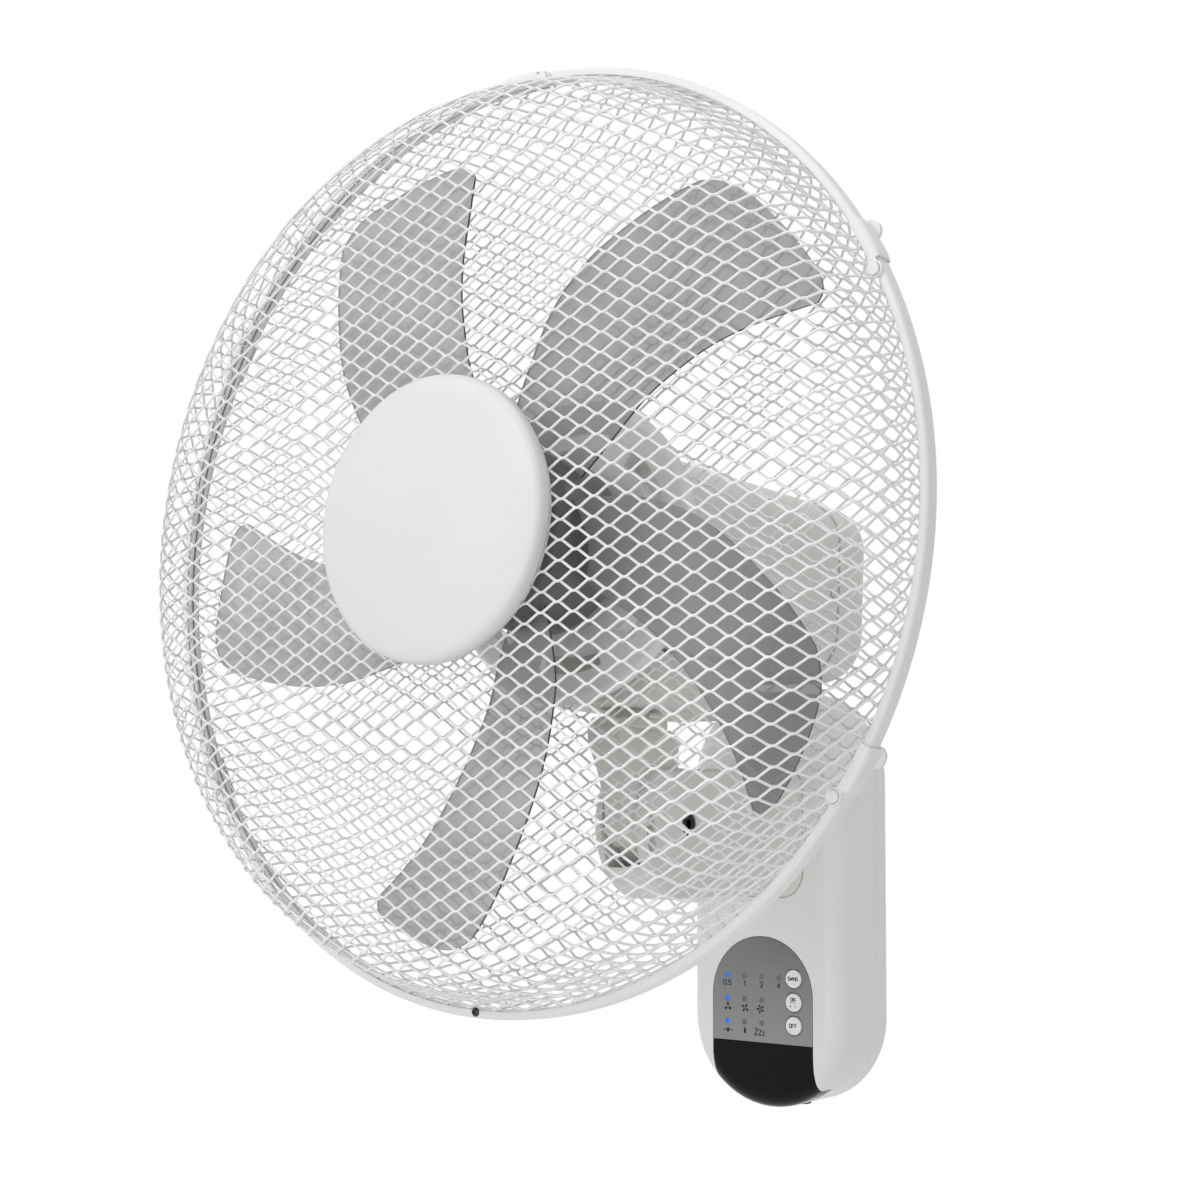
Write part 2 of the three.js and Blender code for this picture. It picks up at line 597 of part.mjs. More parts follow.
// ---------------------------------------------------------------- neck, in the tilted frame about the tilt axis
const tilted = new THREE.Group();
tilted.position.set(0, PIVOT_Y, PIVOT_Z);
tilted.rotation.x = -TILT_REST;
fan.add(tilted);

const GEAR_RADIUS = GEAR_MODULE * GEAR_TEETH / 2;
const PINION_RADIUS = GEAR_MODULE * PINION_TEETH / 2;
const PINION_Y = SWING_Y + GEAR_RADIUS + PINION_RADIUS;

// A spur gear's outline; teeth only between two angles, round elsewhere.
function gearOutline(teeth, phase, from = 0, to = 2 * Math.PI) {
  const pitch = GEAR_MODULE * teeth / 2;
  const [outer, root] = [pitch + 0.85 * GEAR_MODULE, pitch - 1.15 * GEAR_MODULE];
  const points = [];
  for (let i = 0; i < teeth; i++) {
    const middle = phase + 2 * Math.PI * i / teeth;
    const wrapped = ((middle % (2 * Math.PI)) + 2 * Math.PI) % (2 * Math.PI);
    const half = (Math.PI * GEAR_MODULE / 4 - TOOTH_PLAY / 2) / pitch; // half of a tooth at the pitch circle
    if (wrapped < from || wrapped > to) {
      points.push([root, middle]);
      continue;
    }
    points.push([root, middle - half * 1.55], [pitch, middle - half], [outer, middle - half * 0.45],
      [outer, middle + half * 0.45], [pitch, middle + half], [root, middle + half * 1.55]);
  }
  return new THREE.Shape(points.map(([r, a]) => new THREE.Vector2(r * Math.cos(a), r * Math.sin(a))));
}

function neckBody() {
  const half = ARM_HALF_WIDTH - CHEEK - GAP;
  const drum = rodX(NECK_DRUM_RADIUS, -half, half, 24);
  const column = across(new THREE.Shape(NECK_SIDE.map(([y, z]) => new THREE.Vector2(y, z))), half);
  const plate = rodZ(NECK_PLATE_RADIUS, NECK_TOP - NECK_PLATE, NECK_TOP, 24, 0, SWING_Y);
  const stub = rodX(STOP_STUB, half - 1, ARM_HALF_WIDTH - 1, 8, -STOP_RADIUS, 0);
  return cut(join(drum, column, plate, stub),
    rodX(TILT_PIN_RADIUS + GAP, -half - 1, half + 1, 12),
    rodZ(SWING_PIN_RADIUS + GAP, 20, NECK_TOP + 1, 16, 0, SWING_Y));
}

function swingPin() {
  const body = rodZ(SWING_PIN_RADIUS, 20 + GAP, SWING_PIN_TOP, 16, 0, SWING_Y);
  return cut(body, rodZ(2.5, 19, SWING_PIN_TOP + 1, 8, 0, SWING_Y));
}

// The fixed gear on the swing pin: the head's pinion walks round it.
function swingGear() {
  const outline = gearOutline(GEAR_TEETH, Math.PI / 2 + Math.PI / GEAR_TEETH, rad(32), rad(148));
  const wheel = new THREE.ExtrudeGeometry(outline, { depth: GEAR_THICK, bevelEnabled: false })
    .translate(0, 0, GEAR_Z);
  const hub = rodZ(SWING_PIN_RADIUS + 4, NECK_TOP + GAP, GEAR_Z + GEAR_THICK, 16);
  return cut(join(wheel, hub), rodZ(SWING_PIN_RADIUS + GAP, 0, 100, 16)).translate(0, SWING_Y, 0);
}

function swingPinion() {
  const wheel = new THREE.ExtrudeGeometry(gearOutline(PINION_TEETH, -Math.PI / 2),
    { depth: GEAR_THICK, bevelEnabled: false }).translate(0, 0, GEAR_Z);
  return join(wheel, rodZ(2.5, GEAR_Z + 1, GEAR_Z + GEAR_THICK + 5, 8)).translate(0, PINION_Y, 0);
}

add(tilted, "neck", neckBody(), looks.white);
add(tilted, "swing_pin", swingPin(), looks.steel);
add(tilted, "swing_gear", swingGear(), looks.nylon);
add(tilted, "swing_pinion", swingPinion(), looks.nylon);

// ---------------------------------------------------------------- head, about the middle of the guard ring
const head = new THREE.Group();
head.position.set(0, -RIM_AHEAD, FAN_AXIS_UP);
tilted.add(head);

const toRing = (y) => y + RIM_AHEAD; // a station behind the ring from one behind the tilt axis

function motorRing(inset, y, steps = 3) {
  return roundedRing(MOTOR_HALF_WIDTH - inset, -MOTOR_BELOW + inset, MOTOR_ABOVE - inset,
    Math.max(MOTOR_CORNER - inset, 6), y, steps);
}

const GROOVE = 1.4; // the front shell draws in just before the seam
const GROOVE_LENGTH = 10;

function motorFrontShell() {
  const outer = loft([motorRing(7, MOTOR_FRONT), motorRing(0, MOTOR_FRONT + 9),
    motorRing(0, MOTOR_SEAM - GROOVE_LENGTH), motorRing(GROOVE, MOTOR_SEAM - GROOVE_LENGTH + 1),
    motorRing(GROOVE, MOTOR_SEAM)]);
  const inner = loft([motorRing(10, MOTOR_FRONT + WALL), motorRing(WALL, MOTOR_FRONT + 11),
    motorRing(WALL + GROOVE, MOTOR_SEAM - GROOVE_LENGTH - 4),
    motorRing(WALL + GROOVE, MOTOR_SEAM + 1)]);
  return cut(outer, inner,
    rodY(SNOUT_RADIUS + GAP, MOTOR_FRONT - 1, MOTOR_FRONT + 6, 16),
    ...[-1, 1].map((side) => rodX(1.8, side > 0 ? 30 : -60, side > 0 ? 60 : -30, 8, MOTOR_SEAM - 5, 0)));
}

function motorRearShell() {
  const y0 = MOTOR_SEAM + GAP;
  const outer = loft([motorRing(0, y0), motorRing(0, MOTOR_REAR - 16), motorRing(3, MOTOR_REAR - 8),
    motorRing(9, MOTOR_REAR - 2.5), motorRing(16, MOTOR_REAR)]);
  const inner = loft([motorRing(WALL, y0 - 1), motorRing(WALL, MOTOR_REAR - 17),
    motorRing(WALL + 3, MOTOR_REAR - 10), motorRing(17, MOTOR_REAR - WALL)]);
  const vents = [-2, -1, 0, 1, 2].map((i) => box(-22, 22, MOTOR_REAR - 6, MOTOR_REAR + 2,
    3 + i * 10 - 1.6, 3 + i * 10 + 1.6));
  return cut(outer, inner, ...vents);
}

function headBase() {
  const low = NECK_TOP + 1 - FAN_AXIS_UP;
  const high = -MOTOR_BELOW - GAP;
  const outline = (margin, z) => {
    const ring = [];
    const corner = 16 - margin;
    const half = BASE_HALF_WIDTH - margin;
    const [front, rear] = [toRing(BASE_FRONT) + margin, toRing(BASE_REAR) - margin];
    [[1, 1], [-1, 1], [-1, -1], [1, -1]].forEach(([sx, sy], quarter) => {
      for (let i = 0; i <= 3; i++) {
        const angle = Math.PI / 2 * (quarter + i / 3);
        ring.push(V(sx * (half - corner) + corner * Math.cos(angle),
          (sy > 0 ? rear - corner : front + corner) + corner * Math.sin(angle), z));
      }
    });
    return ring;
  };
  const outer = loft([outline(3, low), outline(0, low + 5), outline(0, high)]);
  const inner = loft([outline(WALL + 2, low + WALL), outline(WALL, low + WALL + 4), outline(WALL, high + 1)]);
  const y = toRing(SWING_Y);
  const bush = rodZ(SWING_PIN_RADIUS + 7.5, SWING_PIN_TOP - 5 - FAN_AXIS_UP, high, 16, 0, y);
  const ribs = box(-BASE_HALF_WIDTH + 1, BASE_HALF_WIDTH - 1, y - 2, y + 2, SWING_PIN_TOP - 4 - FAN_AXIS_UP, high);
  return cut(join(cut(outer, inner), bush, ribs),
    rodZ(SWING_PIN_RADIUS + GAP, low, SWING_PIN_TOP + GAP - FAN_AXIS_UP, 16, 0, y),
    rodZ(SWING_PIN_RADIUS + 4 + GAP, low - 1, low + WALL + 1, 16, 0, y));
}

function swingMotor() {
  const y = toRing(PINION_Y);
  const low = GEAR_Z + GEAR_THICK + 2 - FAN_AXIS_UP;
  return cut(join(rodZ(14, low, low + 11.4, 16, 0, y), box(-17.5, 17.5, y - 3.5, y + 3.5, low, low + 1)),
    rodZ(2.5 + GAP, low - 1, low + 5, 8, 0, y));
}

function stator() {
  const core = turned([[ROTOR_RADIUS + 0.5, STATOR_FRONT], [STATOR_RADIUS, STATOR_FRONT],
    [STATOR_RADIUS, STATOR_REAR], [ROTOR_RADIUS + 0.5, STATOR_REAR]], 18);
  return core;
}

function windings(front) {
  const [y0, y1] = front ? [STATOR_FRONT - 9, STATOR_FRONT - GAP] : [STATOR_REAR + GAP, STATOR_REAR + 9];
  const mid = (y0 + y1) / 2;
  return turned([[ROTOR_RADIUS + 3, mid], [ROTOR_RADIUS + 6, y0], [STATOR_RADIUS - 8, y0],
    [STATOR_RADIUS - 5, mid], [STATOR_RADIUS - 8, y1], [ROTOR_RADIUS + 6, y1]], 12);
}

// A cup that holds one bearing and clamps the stator.
function motorBracket(front) {
  const seat = front ? STATOR_FRONT - 12 : STATOR_REAR + 12;
  const face = front ? STATOR_FRONT - GAP : STATOR_REAR + GAP;
  const away = front ? -1 : 1;
  const [r, b] = [STATOR_RADIUS + 2, BEARING_RADIUS];
  const profile = [[b + GAP, seat], [b + GAP, seat - away * BRACKET_PLATE], [b + 3, seat - away * BRACKET_PLATE],
    [b + 5, seat], [r - 6, seat], [r - 3, face], [r, face], [r - 3, seat + away * 2],
    [SHAFT_RADIUS + 1.5, seat + away * 2], [SHAFT_RADIUS + 1.5, seat]];
  return turned(profile, 14);
}

function bearing(front) {
  const seat = front ? STATOR_FRONT - 12 : STATOR_REAR + 12;
  const away = front ? -1 : 1;
  const [y0, y1] = [seat - away * GAP, seat - away * (BRACKET_PLATE - 0.5)].sort((a, b) => a - b);
  return turned([[SHAFT_RADIUS + GAP, y0], [BEARING_RADIUS, y0], [BEARING_RADIUS, y1], [SHAFT_RADIUS + GAP, y1]], 14);
}

function snout() {
  return turned([[SHAFT_RADIUS + 1.5, SNOUT_FRONT], [SNOUT_RADIUS - 1, SNOUT_FRONT],
    [SNOUT_RADIUS, SNOUT_FRONT + 1], [SNOUT_RADIUS, MOTOR_FRONT + WALL - 0.8],
    [SHAFT_RADIUS + 1.5, MOTOR_FRONT + WALL - 0.8]], 16);
}

add(head, "head_base", headBase(), looks.white);
add(head, "motor_front_shell", motorFrontShell(), looks.white);
add(head, "motor_rear_shell", motorRearShell(), looks.white);
add(head, "swing_motor", swingMotor(), looks.alloy);
add(head, "stator_core", stator(), looks.lamination);
add(head, "front_winding", windings(true), looks.copper);
add(head, "rear_winding", windings(false), looks.copper);
add(head, "front_motor_bracket", motorBracket(true), looks.alloy);
add(head, "rear_motor_bracket", motorBracket(false), looks.alloy);
add(head, "front_bearing", bearing(true), looks.steel);
add(head, "rear_bearing", bearing(false), looks.steel);
add(head, "guard_snout", snout(), looks.white);
[1, -1].forEach((side, i) => add(head, `seam_screw_${i + 1}`,
  screw(7, 2.6, 1.4, 1.4).rotateZ(side > 0 ? -Math.PI / 2 : Math.PI / 2)
    .translate(side * (MOTOR_HALF_WIDTH - GROOVE + GAP), MOTOR_SEAM - 5, 0), looks.steel));

// ---------------------------------------------------------------- guards
// Profile of a guard from its inner ring out to its rim, in (radius, distance from the ring's middle plane).
function guardProfile(inner, depth, shoulder) {
  const path = new THREE.Path();
  path.moveTo(inner, depth);
  path.quadraticCurveTo(SHOULDER_RADIUS * 0.72, depth, SHOULDER_RADIUS, shoulder);
  path.bezierCurveTo(SHOULDER_RADIUS + 12, shoulder - 3, WALL_RADIUS, shoulder * 0.72, WALL_RADIUS + 0.6,
    shoulder * 0.45);
  path.lineTo(WALL_RADIUS + 0.8, RIM_PLANE + 3);
  path.quadraticCurveTo(WALL_RADIUS + 1.2, RIM_PLANE, RIM_RADIUS, RIM_PLANE);
  return path;
}

// A diamond net of wires between an inner and an outer ring wire, each wire with a triangular section. It is
// drawn flat and laid over the profile: distance along the flat net becomes distance along the profile.
// side is -1 for the front guard and 1 for the rear one.
function guardNet(inner, profile, side) {
  const length = profile.getLength();
  const reach = inner + length;
  const place = (u, v, offset) => {
    const flat = Math.hypot(u, v);
    const t = THREE.MathUtils.clamp((flat - inner) / length, 0, 1);
    const beyond = flat - inner - t * length;
    const [p, tangent] = [profile.getPointAt(t), profile.getTangentAt(t)];
    const r = p.x + tangent.x * beyond - tangent.y * offset;
    const depth = p.y + tangent.y * beyond + tangent.x * offset;
    return [r * u / flat, side * depth, r * v / flat];
  };

  // wire crossings and the stretches between them
  const nodes = [];
  const rims = { [inner]: [], [reach]: [] };
  const onRim = (angle, radius) => {
    const near = rims[radius].find((n) => Math.abs(Math.atan2(Math.sin(n.angle - angle),
      Math.cos(n.angle - angle))) * radius < SNAP);
    if (near) return near;
    const node = { u: radius * Math.cos(angle), v: radius * Math.sin(angle), angle, radius, links: [] };
    nodes.push(node);
    rims[radius].push(node);
    return node;
  };
  const link = (a, b) => {
    if (a === b || a.links.includes(b)) return;
    a.links.push(b);
    b.links.push(a);
  };
  const [hw, hh] = [CELL_WIDTH / 2, CELL_HEIGHT / 2];
  const count = Math.ceil(reach / hh) + 1;
  const lattice = new Map();
  for (let i = -count; i <= count; i++) {
    for (let j = -count; j <= count; j++) {
      if ((i + j) % 2) continue;
      const [u, v] = [i * hw, j * hh];
      const flat = Math.hypot(u, v);
      const rim = [inner, reach].find((radius) => Math.abs(flat - radius) < SNAP);
      if (rim) lattice.set(`${i},${j}`, onRim(Math.atan2(v, u), rim));
      else if (flat > inner && flat < reach) {
        const node = { u, v, links: [] };
        nodes.push(node);
        lattice.set(`${i},${j}`, node);
      }
    }
  }
  for (let i = -count; i <= count; i++) {
    for (let j = -count; j <= count; j++) {
      if ((i + j) % 2) continue;
      for (const di of [1, -1]) {
        const [a, b] = [lattice.get(`${i},${j}`), lattice.get(`${i + di},${j + 1}`)];
        if (a && b) {
          if (!(a.radius && a.radius === b.radius)) link(a, b);
          continue;
        }
        const kept = a ?? b;
        if (!kept || kept.radius) continue;
        const [u, v, du, dv] = a ? [i * hw, j * hh, di * hw, hh] : [(i + di) * hw, (j + 1) * hh, -di * hw, -hh];
        const radius = Math.hypot(u + du, v + dv) > Math.hypot(u, v) ? reach : inner;
        const [qa, qb, qc] = [du * du + dv * dv, 2 * (u * du + v * dv), u * u + v * v - radius * radius];
        const root = Math.sqrt(qb * qb - 4 * qa * qc);
        const t = [(-qb - root) / (2 * qa), (-qb + root) / (2 * qa)].find((k) => k > 0 && k <= 1);
        link(kept, onRim(Math.atan2(v + dv * t, u + du * t), radius));
      }
    }
  }
  for (const rim of Object.values(rims)) {
    rim.sort((a, b) => a.angle - b.angle);
    rim.forEach((node, i) => link(node, rim[(i + 1) % rim.length]));
  }

  // a flat pad at each crossing with one corner between neighbouring wires, and a point behind it
  const positions = [];
  const faces = [];
  const vertex = (u, v, offset) => positions.push(...place(u, v, offset)) / 3 - 1;
  for (const node of nodes) {
    node.spokes = node.links.map((other) => ({ other, angle: Math.atan2(other.v - node.v, other.u - node.u) }))
      .sort((a, b) => a.angle - b.angle);
    node.spokes.forEach((spoke, i) => {
      const next = node.spokes[(i + 1) % node.spokes.length];
      const gap = (next.angle - spoke.angle + 2 * Math.PI) % (2 * Math.PI);
      const distance = Math.min(MESH_WIRE / 2 / Math.sin(gap / 2), MESH_WIRE * 1.6);
      const angle = spoke.angle + gap / 2;
      spoke.left = vertex(node.u + distance * Math.cos(angle), node.v + distance * Math.sin(angle), MESH_THICK / 2);
      next.right = spoke.left;
    });
    node.back = vertex(node.u, node.v, -MESH_THICK / 2);
    const corners = node.spokes.map((spoke) => spoke.left);
    for (let i = 1; i < corners.length - 1; i++) faces.push(corners[0], corners[i], corners[i + 1]);
  }
  for (const node of nodes) {
    for (const spoke of node.spokes) {
      if (nodes.indexOf(spoke.other) < nodes.indexOf(node)) continue;
      const far = spoke.other.spokes.find((s) => s.other === node);
      const [r0, l0, r1, l1] = [spoke.right, spoke.left, far.left, far.right];
      faces.push(r0, r1, l1, r0, l1, l0);
      faces.push(r0, node.back, spoke.other.back, r0, spoke.other.back, r1);
      faces.push(l0, l1, spoke.other.back, l0, spoke.other.back, node.back);
    }
  }
  const g = new THREE.BufferGeometry();
  g.setAttribute("position", new THREE.Float32BufferAttribute(positions, 3));
  g.setIndex(faces);
  return g;
}

function guard(side) {
  const [inner, depth, shoulder] = side < 0 ? [CAP_RING, FRONT_DEPTH, FRONT_SHOULDER]
    : [PLATE_RING, REAR_DEPTH, REAR_SHOULDER];
  return guardNet(inner, guardProfile(inner, depth, shoulder), side);
}

// The clamp ring: a channel open inwards that takes both rim wires.
function clampRing() {
  const [o, i, h, w] = [RING_RADIUS, RING_INNER, RING_HALF, RING_WALL];
  const channel = turned([[i, -h], [o, -h], [o, h], [i, h], [i, h - w], [o - w, h - w], [o - w, -h + w],
    [i, -h + w]], 48);
  const holes = CLIP_ANGLES.map((angle) => {
    const a = rad(angle - CLIP_SPAN / 2);
    return rodY(CLIP_PIN + GAP, -h - 1, -h + w + 1, 8, CLIP_PIVOT_RADIUS * Math.cos(a),
      CLIP_PIVOT_RADIUS * Math.sin(a));
  });
  const s = rad(RING_SCREW_ANGLE);
  return cut(channel, ...holes, rodY(1.8, -h - 1, -h + w + 1, 8, CLIP_PIVOT_RADIUS * Math.cos(s), CLIP_PIVOT_RADIUS * Math.sin(s)));
}

// A clip: hooks round the ring from outside, turns outward about its pin, with a thumb tab at its free end.
function ringClip() {
  const [from, to] = [-CLIP_SPAN / 2, CLIP_SPAN / 2].map(rad);
  const outer = RING_RADIUS + GAP + CLIP_WALL;
  const shape = new THREE.Shape();
  const at = (r, a) => [r * Math.cos(a), r * Math.sin(a)];
  shape.moveTo(...at(RING_INNER + 1.6, from));
  shape.lineTo(...at(outer, from));
  shape.absarc(0, 0, outer, from, to - 0.035, false);
  shape.quadraticCurveTo(...at(outer + 1.5, to - 0.02), ...at(outer + 6.5, to - 0.012));
  shape.quadraticCurveTo(...at(outer + 8, to + 0.004), ...at(outer + 6, to + 0.012));
  shape.lineTo(...at(RING_INNER + 1.6, to));
  shape.absarc(0, 0, RING_INNER + 1.6, to, from, true);
  const half = RING_HALF + GAP + CLIP_WALL;
  const blank = forward(shape, half, 2 * half, 2);
  const clear = turned([[RING_INNER - 4, -RING_HALF - GAP], [RING_RADIUS + GAP, -RING_HALF - GAP],
    [RING_RADIUS + GAP, RING_HALF + GAP], [RING_INNER - 4, RING_HALF + GAP]], 90);
  const [px, pz] = at(CLIP_PIVOT_RADIUS, from);
  const eye = rodY(3.6, -half, -RING_HALF - GAP, 10, px, pz);
  const pin = rodY(CLIP_PIN, -half - 1, -RING_HALF + RING_WALL, 8, px, pz);
  const heel = box(RING_RADIUS - 2, outer + 2, -RING_HALF - GAP, RING_HALF + GAP, -4, CLIP_HEEL).rotateY(-from);
  return join(cut(blank, clear, heel), eye, pin);
}

function frontCap() {
  const back = -FRONT_DEPTH - MESH_THICK / 2 - GAP;
  const front = back - CAP_THICK;
  return turned([[0, front], [CAP_RADIUS - 2.5, front + 0.6], [CAP_RADIUS, front + 2.4], [CAP_RADIUS, back],
    [CAP_RADIUS - WALL, back], [CAP_RADIUS - WALL, front + WALL + 1], [14, front + WALL + 0.5], [14, back + 1.5],
    [0, back + 1.5]], 36);
}

function capRetainer() {
  const front = -FRONT_DEPTH + MESH_THICK / 2 + GAP;
  const seat = -FRONT_DEPTH - MESH_THICK / 2 + 1.5;
  return turned([[0, seat], [12, seat], [12, front], [CAP_RING + 2, front], [CAP_RING + 2, front + 1.6],
    [0, front + 1.6]], 20);
}

function guardPlate() {
  const y1 = REAR_DEPTH - MESH_THICK / 2 - GAP;
  const y0 = y1 - WALL;
  const plate = turned([[SNOUT_RADIUS + GAP, y0], [PLATE_RADIUS - 4, y0], [PLATE_RADIUS, y1],
    [PLATE_RING - 7, y1], [PLATE_RING - 7, MOTOR_FRONT - GAP],
    [SNOUT_RADIUS + GAP, MOTOR_FRONT - GAP]], 24);
  const slots = [];
  for (let i = 0; i < 6; i++) {
    const [a0, a1] = [rad(60 * i + 8), rad(60 * i + 52)];
    const shape = new THREE.Shape();
    shape.absarc(0, 0, 59, a0, a1, false);
    shape.absarc(0, 0, 50, a1, a0, true);
    slots.push(forward(shape, MOTOR_FRONT + 2, 20, 2));
  }
  return cut(plate, ...slots);
}

function guardNut() {
  const front = SNOUT_FRONT + 1;
  const back = REAR_DEPTH - MESH_THICK / 2 - WALL - 2 * GAP;
  const nut = turned([[SNOUT_RADIUS + GAP, front], [27, front], [27, back], [SNOUT_RADIUS + GAP, back]], 20);
  const grips = [];
  for (let i = 0; i < 6; i++) {
    const a = rad(60 * i);
    grips.push(rodY(3, front - 1, back + 1, 6, 28.5 * Math.cos(a), 28.5 * Math.sin(a)));
  }
  return cut(nut, ...grips);
}

add(head, "rear_guard", guard(1), looks.wire);
add(head, "guard_plate", guardPlate(), looks.white);
add(head, "guard_nut", guardNut(), looks.white);
add(head, "front_guard", guard(-1), looks.wire);
add(head, "guard_ring", clampRing(), looks.white);
add(head, "front_cap", frontCap(), looks.white);
add(head, "cap_retainer", capRetainer(), looks.white);
CLIP_ANGLES.forEach((angle, i) => {
  const clip = add(head, `ring_clip_${i + 1}`, ringClip(), looks.white);
  clip.rotation.y = -rad(angle);
});
const screwAngle = rad(RING_SCREW_ANGLE);
add(head, "ring_screw", screw(2.4, 2.6, 1.5, 1.4).rotateX(Math.PI)
  .translate(CLIP_PIVOT_RADIUS * Math.cos(screwAngle), -RING_HALF - GAP,
    CLIP_PIVOT_RADIUS * Math.sin(screwAngle)), looks.dark);

// ---------------------------------------------------------------- rotating parts
const edgeCurve = (points) => new THREE.CatmullRomCurve3(points.map(([r, a]) => V(r, a, 0)));

function edgeAngle(curve, radius) {
  let [low, high] = [0, 1];
  for (let i = 0; i < 24; i++) {
    const middle = (low + high) / 2;
    if (curve.getPoint(middle).x < radius) low = middle;
    else high = middle;
  }
  return rad(curve.getPoint(low).y);
}

// One blade: swept in plan, pitched so that its leading edge lies behind its trailing edge.
function blade() {
  const [trailing, leading] = [edgeCurve(TRAILING_EDGE), edgeCurve(LEADING_EDGE)];
  const [radial, chordwise] = [5, 4];
  const root = HUB_RADIUS - 4;
  const surface = (t, c, offset) => {
    const tip = BLADE_TIP - 13 * Math.abs(2 * c - 1) ** 4;
    const r = root + (tip - root) * t;
    const angle = THREE.MathUtils.lerp(edgeAngle(leading, r), edgeAngle(trailing, r), c);
    const pitch = THREE.MathUtils.lerp(19, 9, Math.sqrt(t));
    const y = 4 + pitch * (1 - 2 * c) - 5 * (1 - (2 * c - 1) ** 2) + offset;
    return [r * Math.cos(angle), y, r * Math.sin(angle)];
  };
  const positions = [];
  const faces = [];
  const at = (side, i, j) => side * (radial + 1) * (chordwise + 1) + i * (chordwise + 1) + j;
  for (const side of [0, 1]) {
    for (let i = 0; i <= radial; i++) {
      for (let j = 0; j <= chordwise; j++) {
        positions.push(...surface(i / radial, j / chordwise, (side - 0.5) * BLADE_THICK));
      }
    }
  }
  const quad = (a, b, c, d) => faces.push(a, b, c, a, c, d);
  for (let i = 0; i < radial; i++) {
    for (let j = 0; j < chordwise; j++) {
      quad(at(0, i, j), at(0, i + 1, j), at(0, i + 1, j + 1), at(0, i, j + 1));
      quad(at(1, i, j), at(1, i, j + 1), at(1, i + 1, j + 1), at(1, i + 1, j));
    }
  }
  for (let i = 0; i < radial; i++) {
    quad(at(0, i, 0), at(1, i, 0), at(1, i + 1, 0), at(0, i + 1, 0));
    quad(at(0, i, chordwise), at(0, i + 1, chordwise), at(1, i + 1, chordwise), at(1, i, chordwise));
  }
  for (let j = 0; j < chordwise; j++) {
    quad(at(0, 0, j), at(0, 0, j + 1), at(1, 0, j + 1), at(1, 0, j));
    quad(at(0, radial, j), at(1, radial, j), at(1, radial, j + 1), at(0, radial, j + 1));
  }
  const g = new THREE.BufferGeometry();
  g.setAttribute("position", new THREE.Float32BufferAttribute(positions, 3));
  g.setIndex(faces);
  return g;
}

function fanBlades() {
  const hub = turned([[SHAFT_RADIUS + 6, HUB_FRONT], [HUB_RADIUS - 10, HUB_FRONT + 1], [HUB_RADIUS - 3, HUB_FRONT + 4],
    [HUB_RADIUS, HUB_FRONT + 10], [HUB_RADIUS, HUB_REAR], [HUB_RADIUS - 2.2, HUB_REAR],
    [HUB_RADIUS - 2.2, HUB_FRONT + 9], [SHAFT_RADIUS + 6, HUB_FRONT + 4], [SHAFT_RADIUS + 6, HUB_REAR - 2],
    [SHAFT_RADIUS + GAP, HUB_REAR - 2], [SHAFT_RADIUS + GAP, HUB_FRONT]], 20);
  const one = blade();
  const blades = [];
  for (let i = 0; i < BLADES; i++) {
    blades.push(one.clone().rotateY(-rad(BLADE_ANGLE + 360 / BLADES * i)));
  }
  const inside = rodY(HUB_RADIUS - 2.2, HUB_FRONT - 20, HUB_REAR + 20, 20);
  const trimmed = blades.map((g) => cut(g, inside));
  return join(hub, ...trimmed);
}

function motorShaft() {
  return join(rodY(SHAFT_RADIUS, SHAFT_FRONT, SHAFT_REAR, 12),
    rodX(1.5, -7, 7, 8, HUB_REAR + 0.6, 0));
}

function rotor() {
  return turned([[SHAFT_RADIUS + GAP, STATOR_FRONT - 3], [ROTOR_RADIUS - 4, STATOR_FRONT - 3],
    [ROTOR_RADIUS, STATOR_FRONT], [ROTOR_RADIUS, STATOR_REAR], [ROTOR_RADIUS - 4, STATOR_REAR + 3],
    [SHAFT_RADIUS + GAP, STATOR_REAR + 3]], 12);
}

function bladeNut() {
  return turned([[0, SHAFT_FRONT - 5], [9, SHAFT_FRONT - 3], [17, HUB_FRONT - 3], [18, HUB_FRONT - GAP],
    [SHAFT_RADIUS + GAP, HUB_FRONT - GAP], [SHAFT_RADIUS + GAP, SHAFT_FRONT - GAP],
    [0, SHAFT_FRONT - GAP]], 16);
}

add(head, "fan_blades", fanBlades(), looks.blade);
add(head, "motor_shaft", motorShaft(), looks.steel);
add(head, "rotor", rotor(), looks.lamination);
add(head, "blade_nut", bladeNut(), looks.dark);

export default fan;
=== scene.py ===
import json
import math
import bpy
import bmesh
import numpy as np
from mathutils import Matrix, Vector


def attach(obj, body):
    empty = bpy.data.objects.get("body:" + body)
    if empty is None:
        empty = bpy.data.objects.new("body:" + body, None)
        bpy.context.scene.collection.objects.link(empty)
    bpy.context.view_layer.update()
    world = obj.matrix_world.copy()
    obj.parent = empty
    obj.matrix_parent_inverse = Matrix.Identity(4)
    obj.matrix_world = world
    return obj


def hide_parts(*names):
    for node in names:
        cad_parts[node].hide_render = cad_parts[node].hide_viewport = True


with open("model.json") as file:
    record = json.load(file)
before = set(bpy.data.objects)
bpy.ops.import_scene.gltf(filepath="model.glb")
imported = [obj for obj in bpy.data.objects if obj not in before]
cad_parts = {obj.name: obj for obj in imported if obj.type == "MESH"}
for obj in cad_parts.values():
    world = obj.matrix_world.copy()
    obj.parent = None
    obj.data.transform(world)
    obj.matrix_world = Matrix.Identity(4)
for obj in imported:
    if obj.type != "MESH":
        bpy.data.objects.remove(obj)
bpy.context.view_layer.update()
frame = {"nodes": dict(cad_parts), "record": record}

MM = 0.001
ON_AXIS = 1e-6

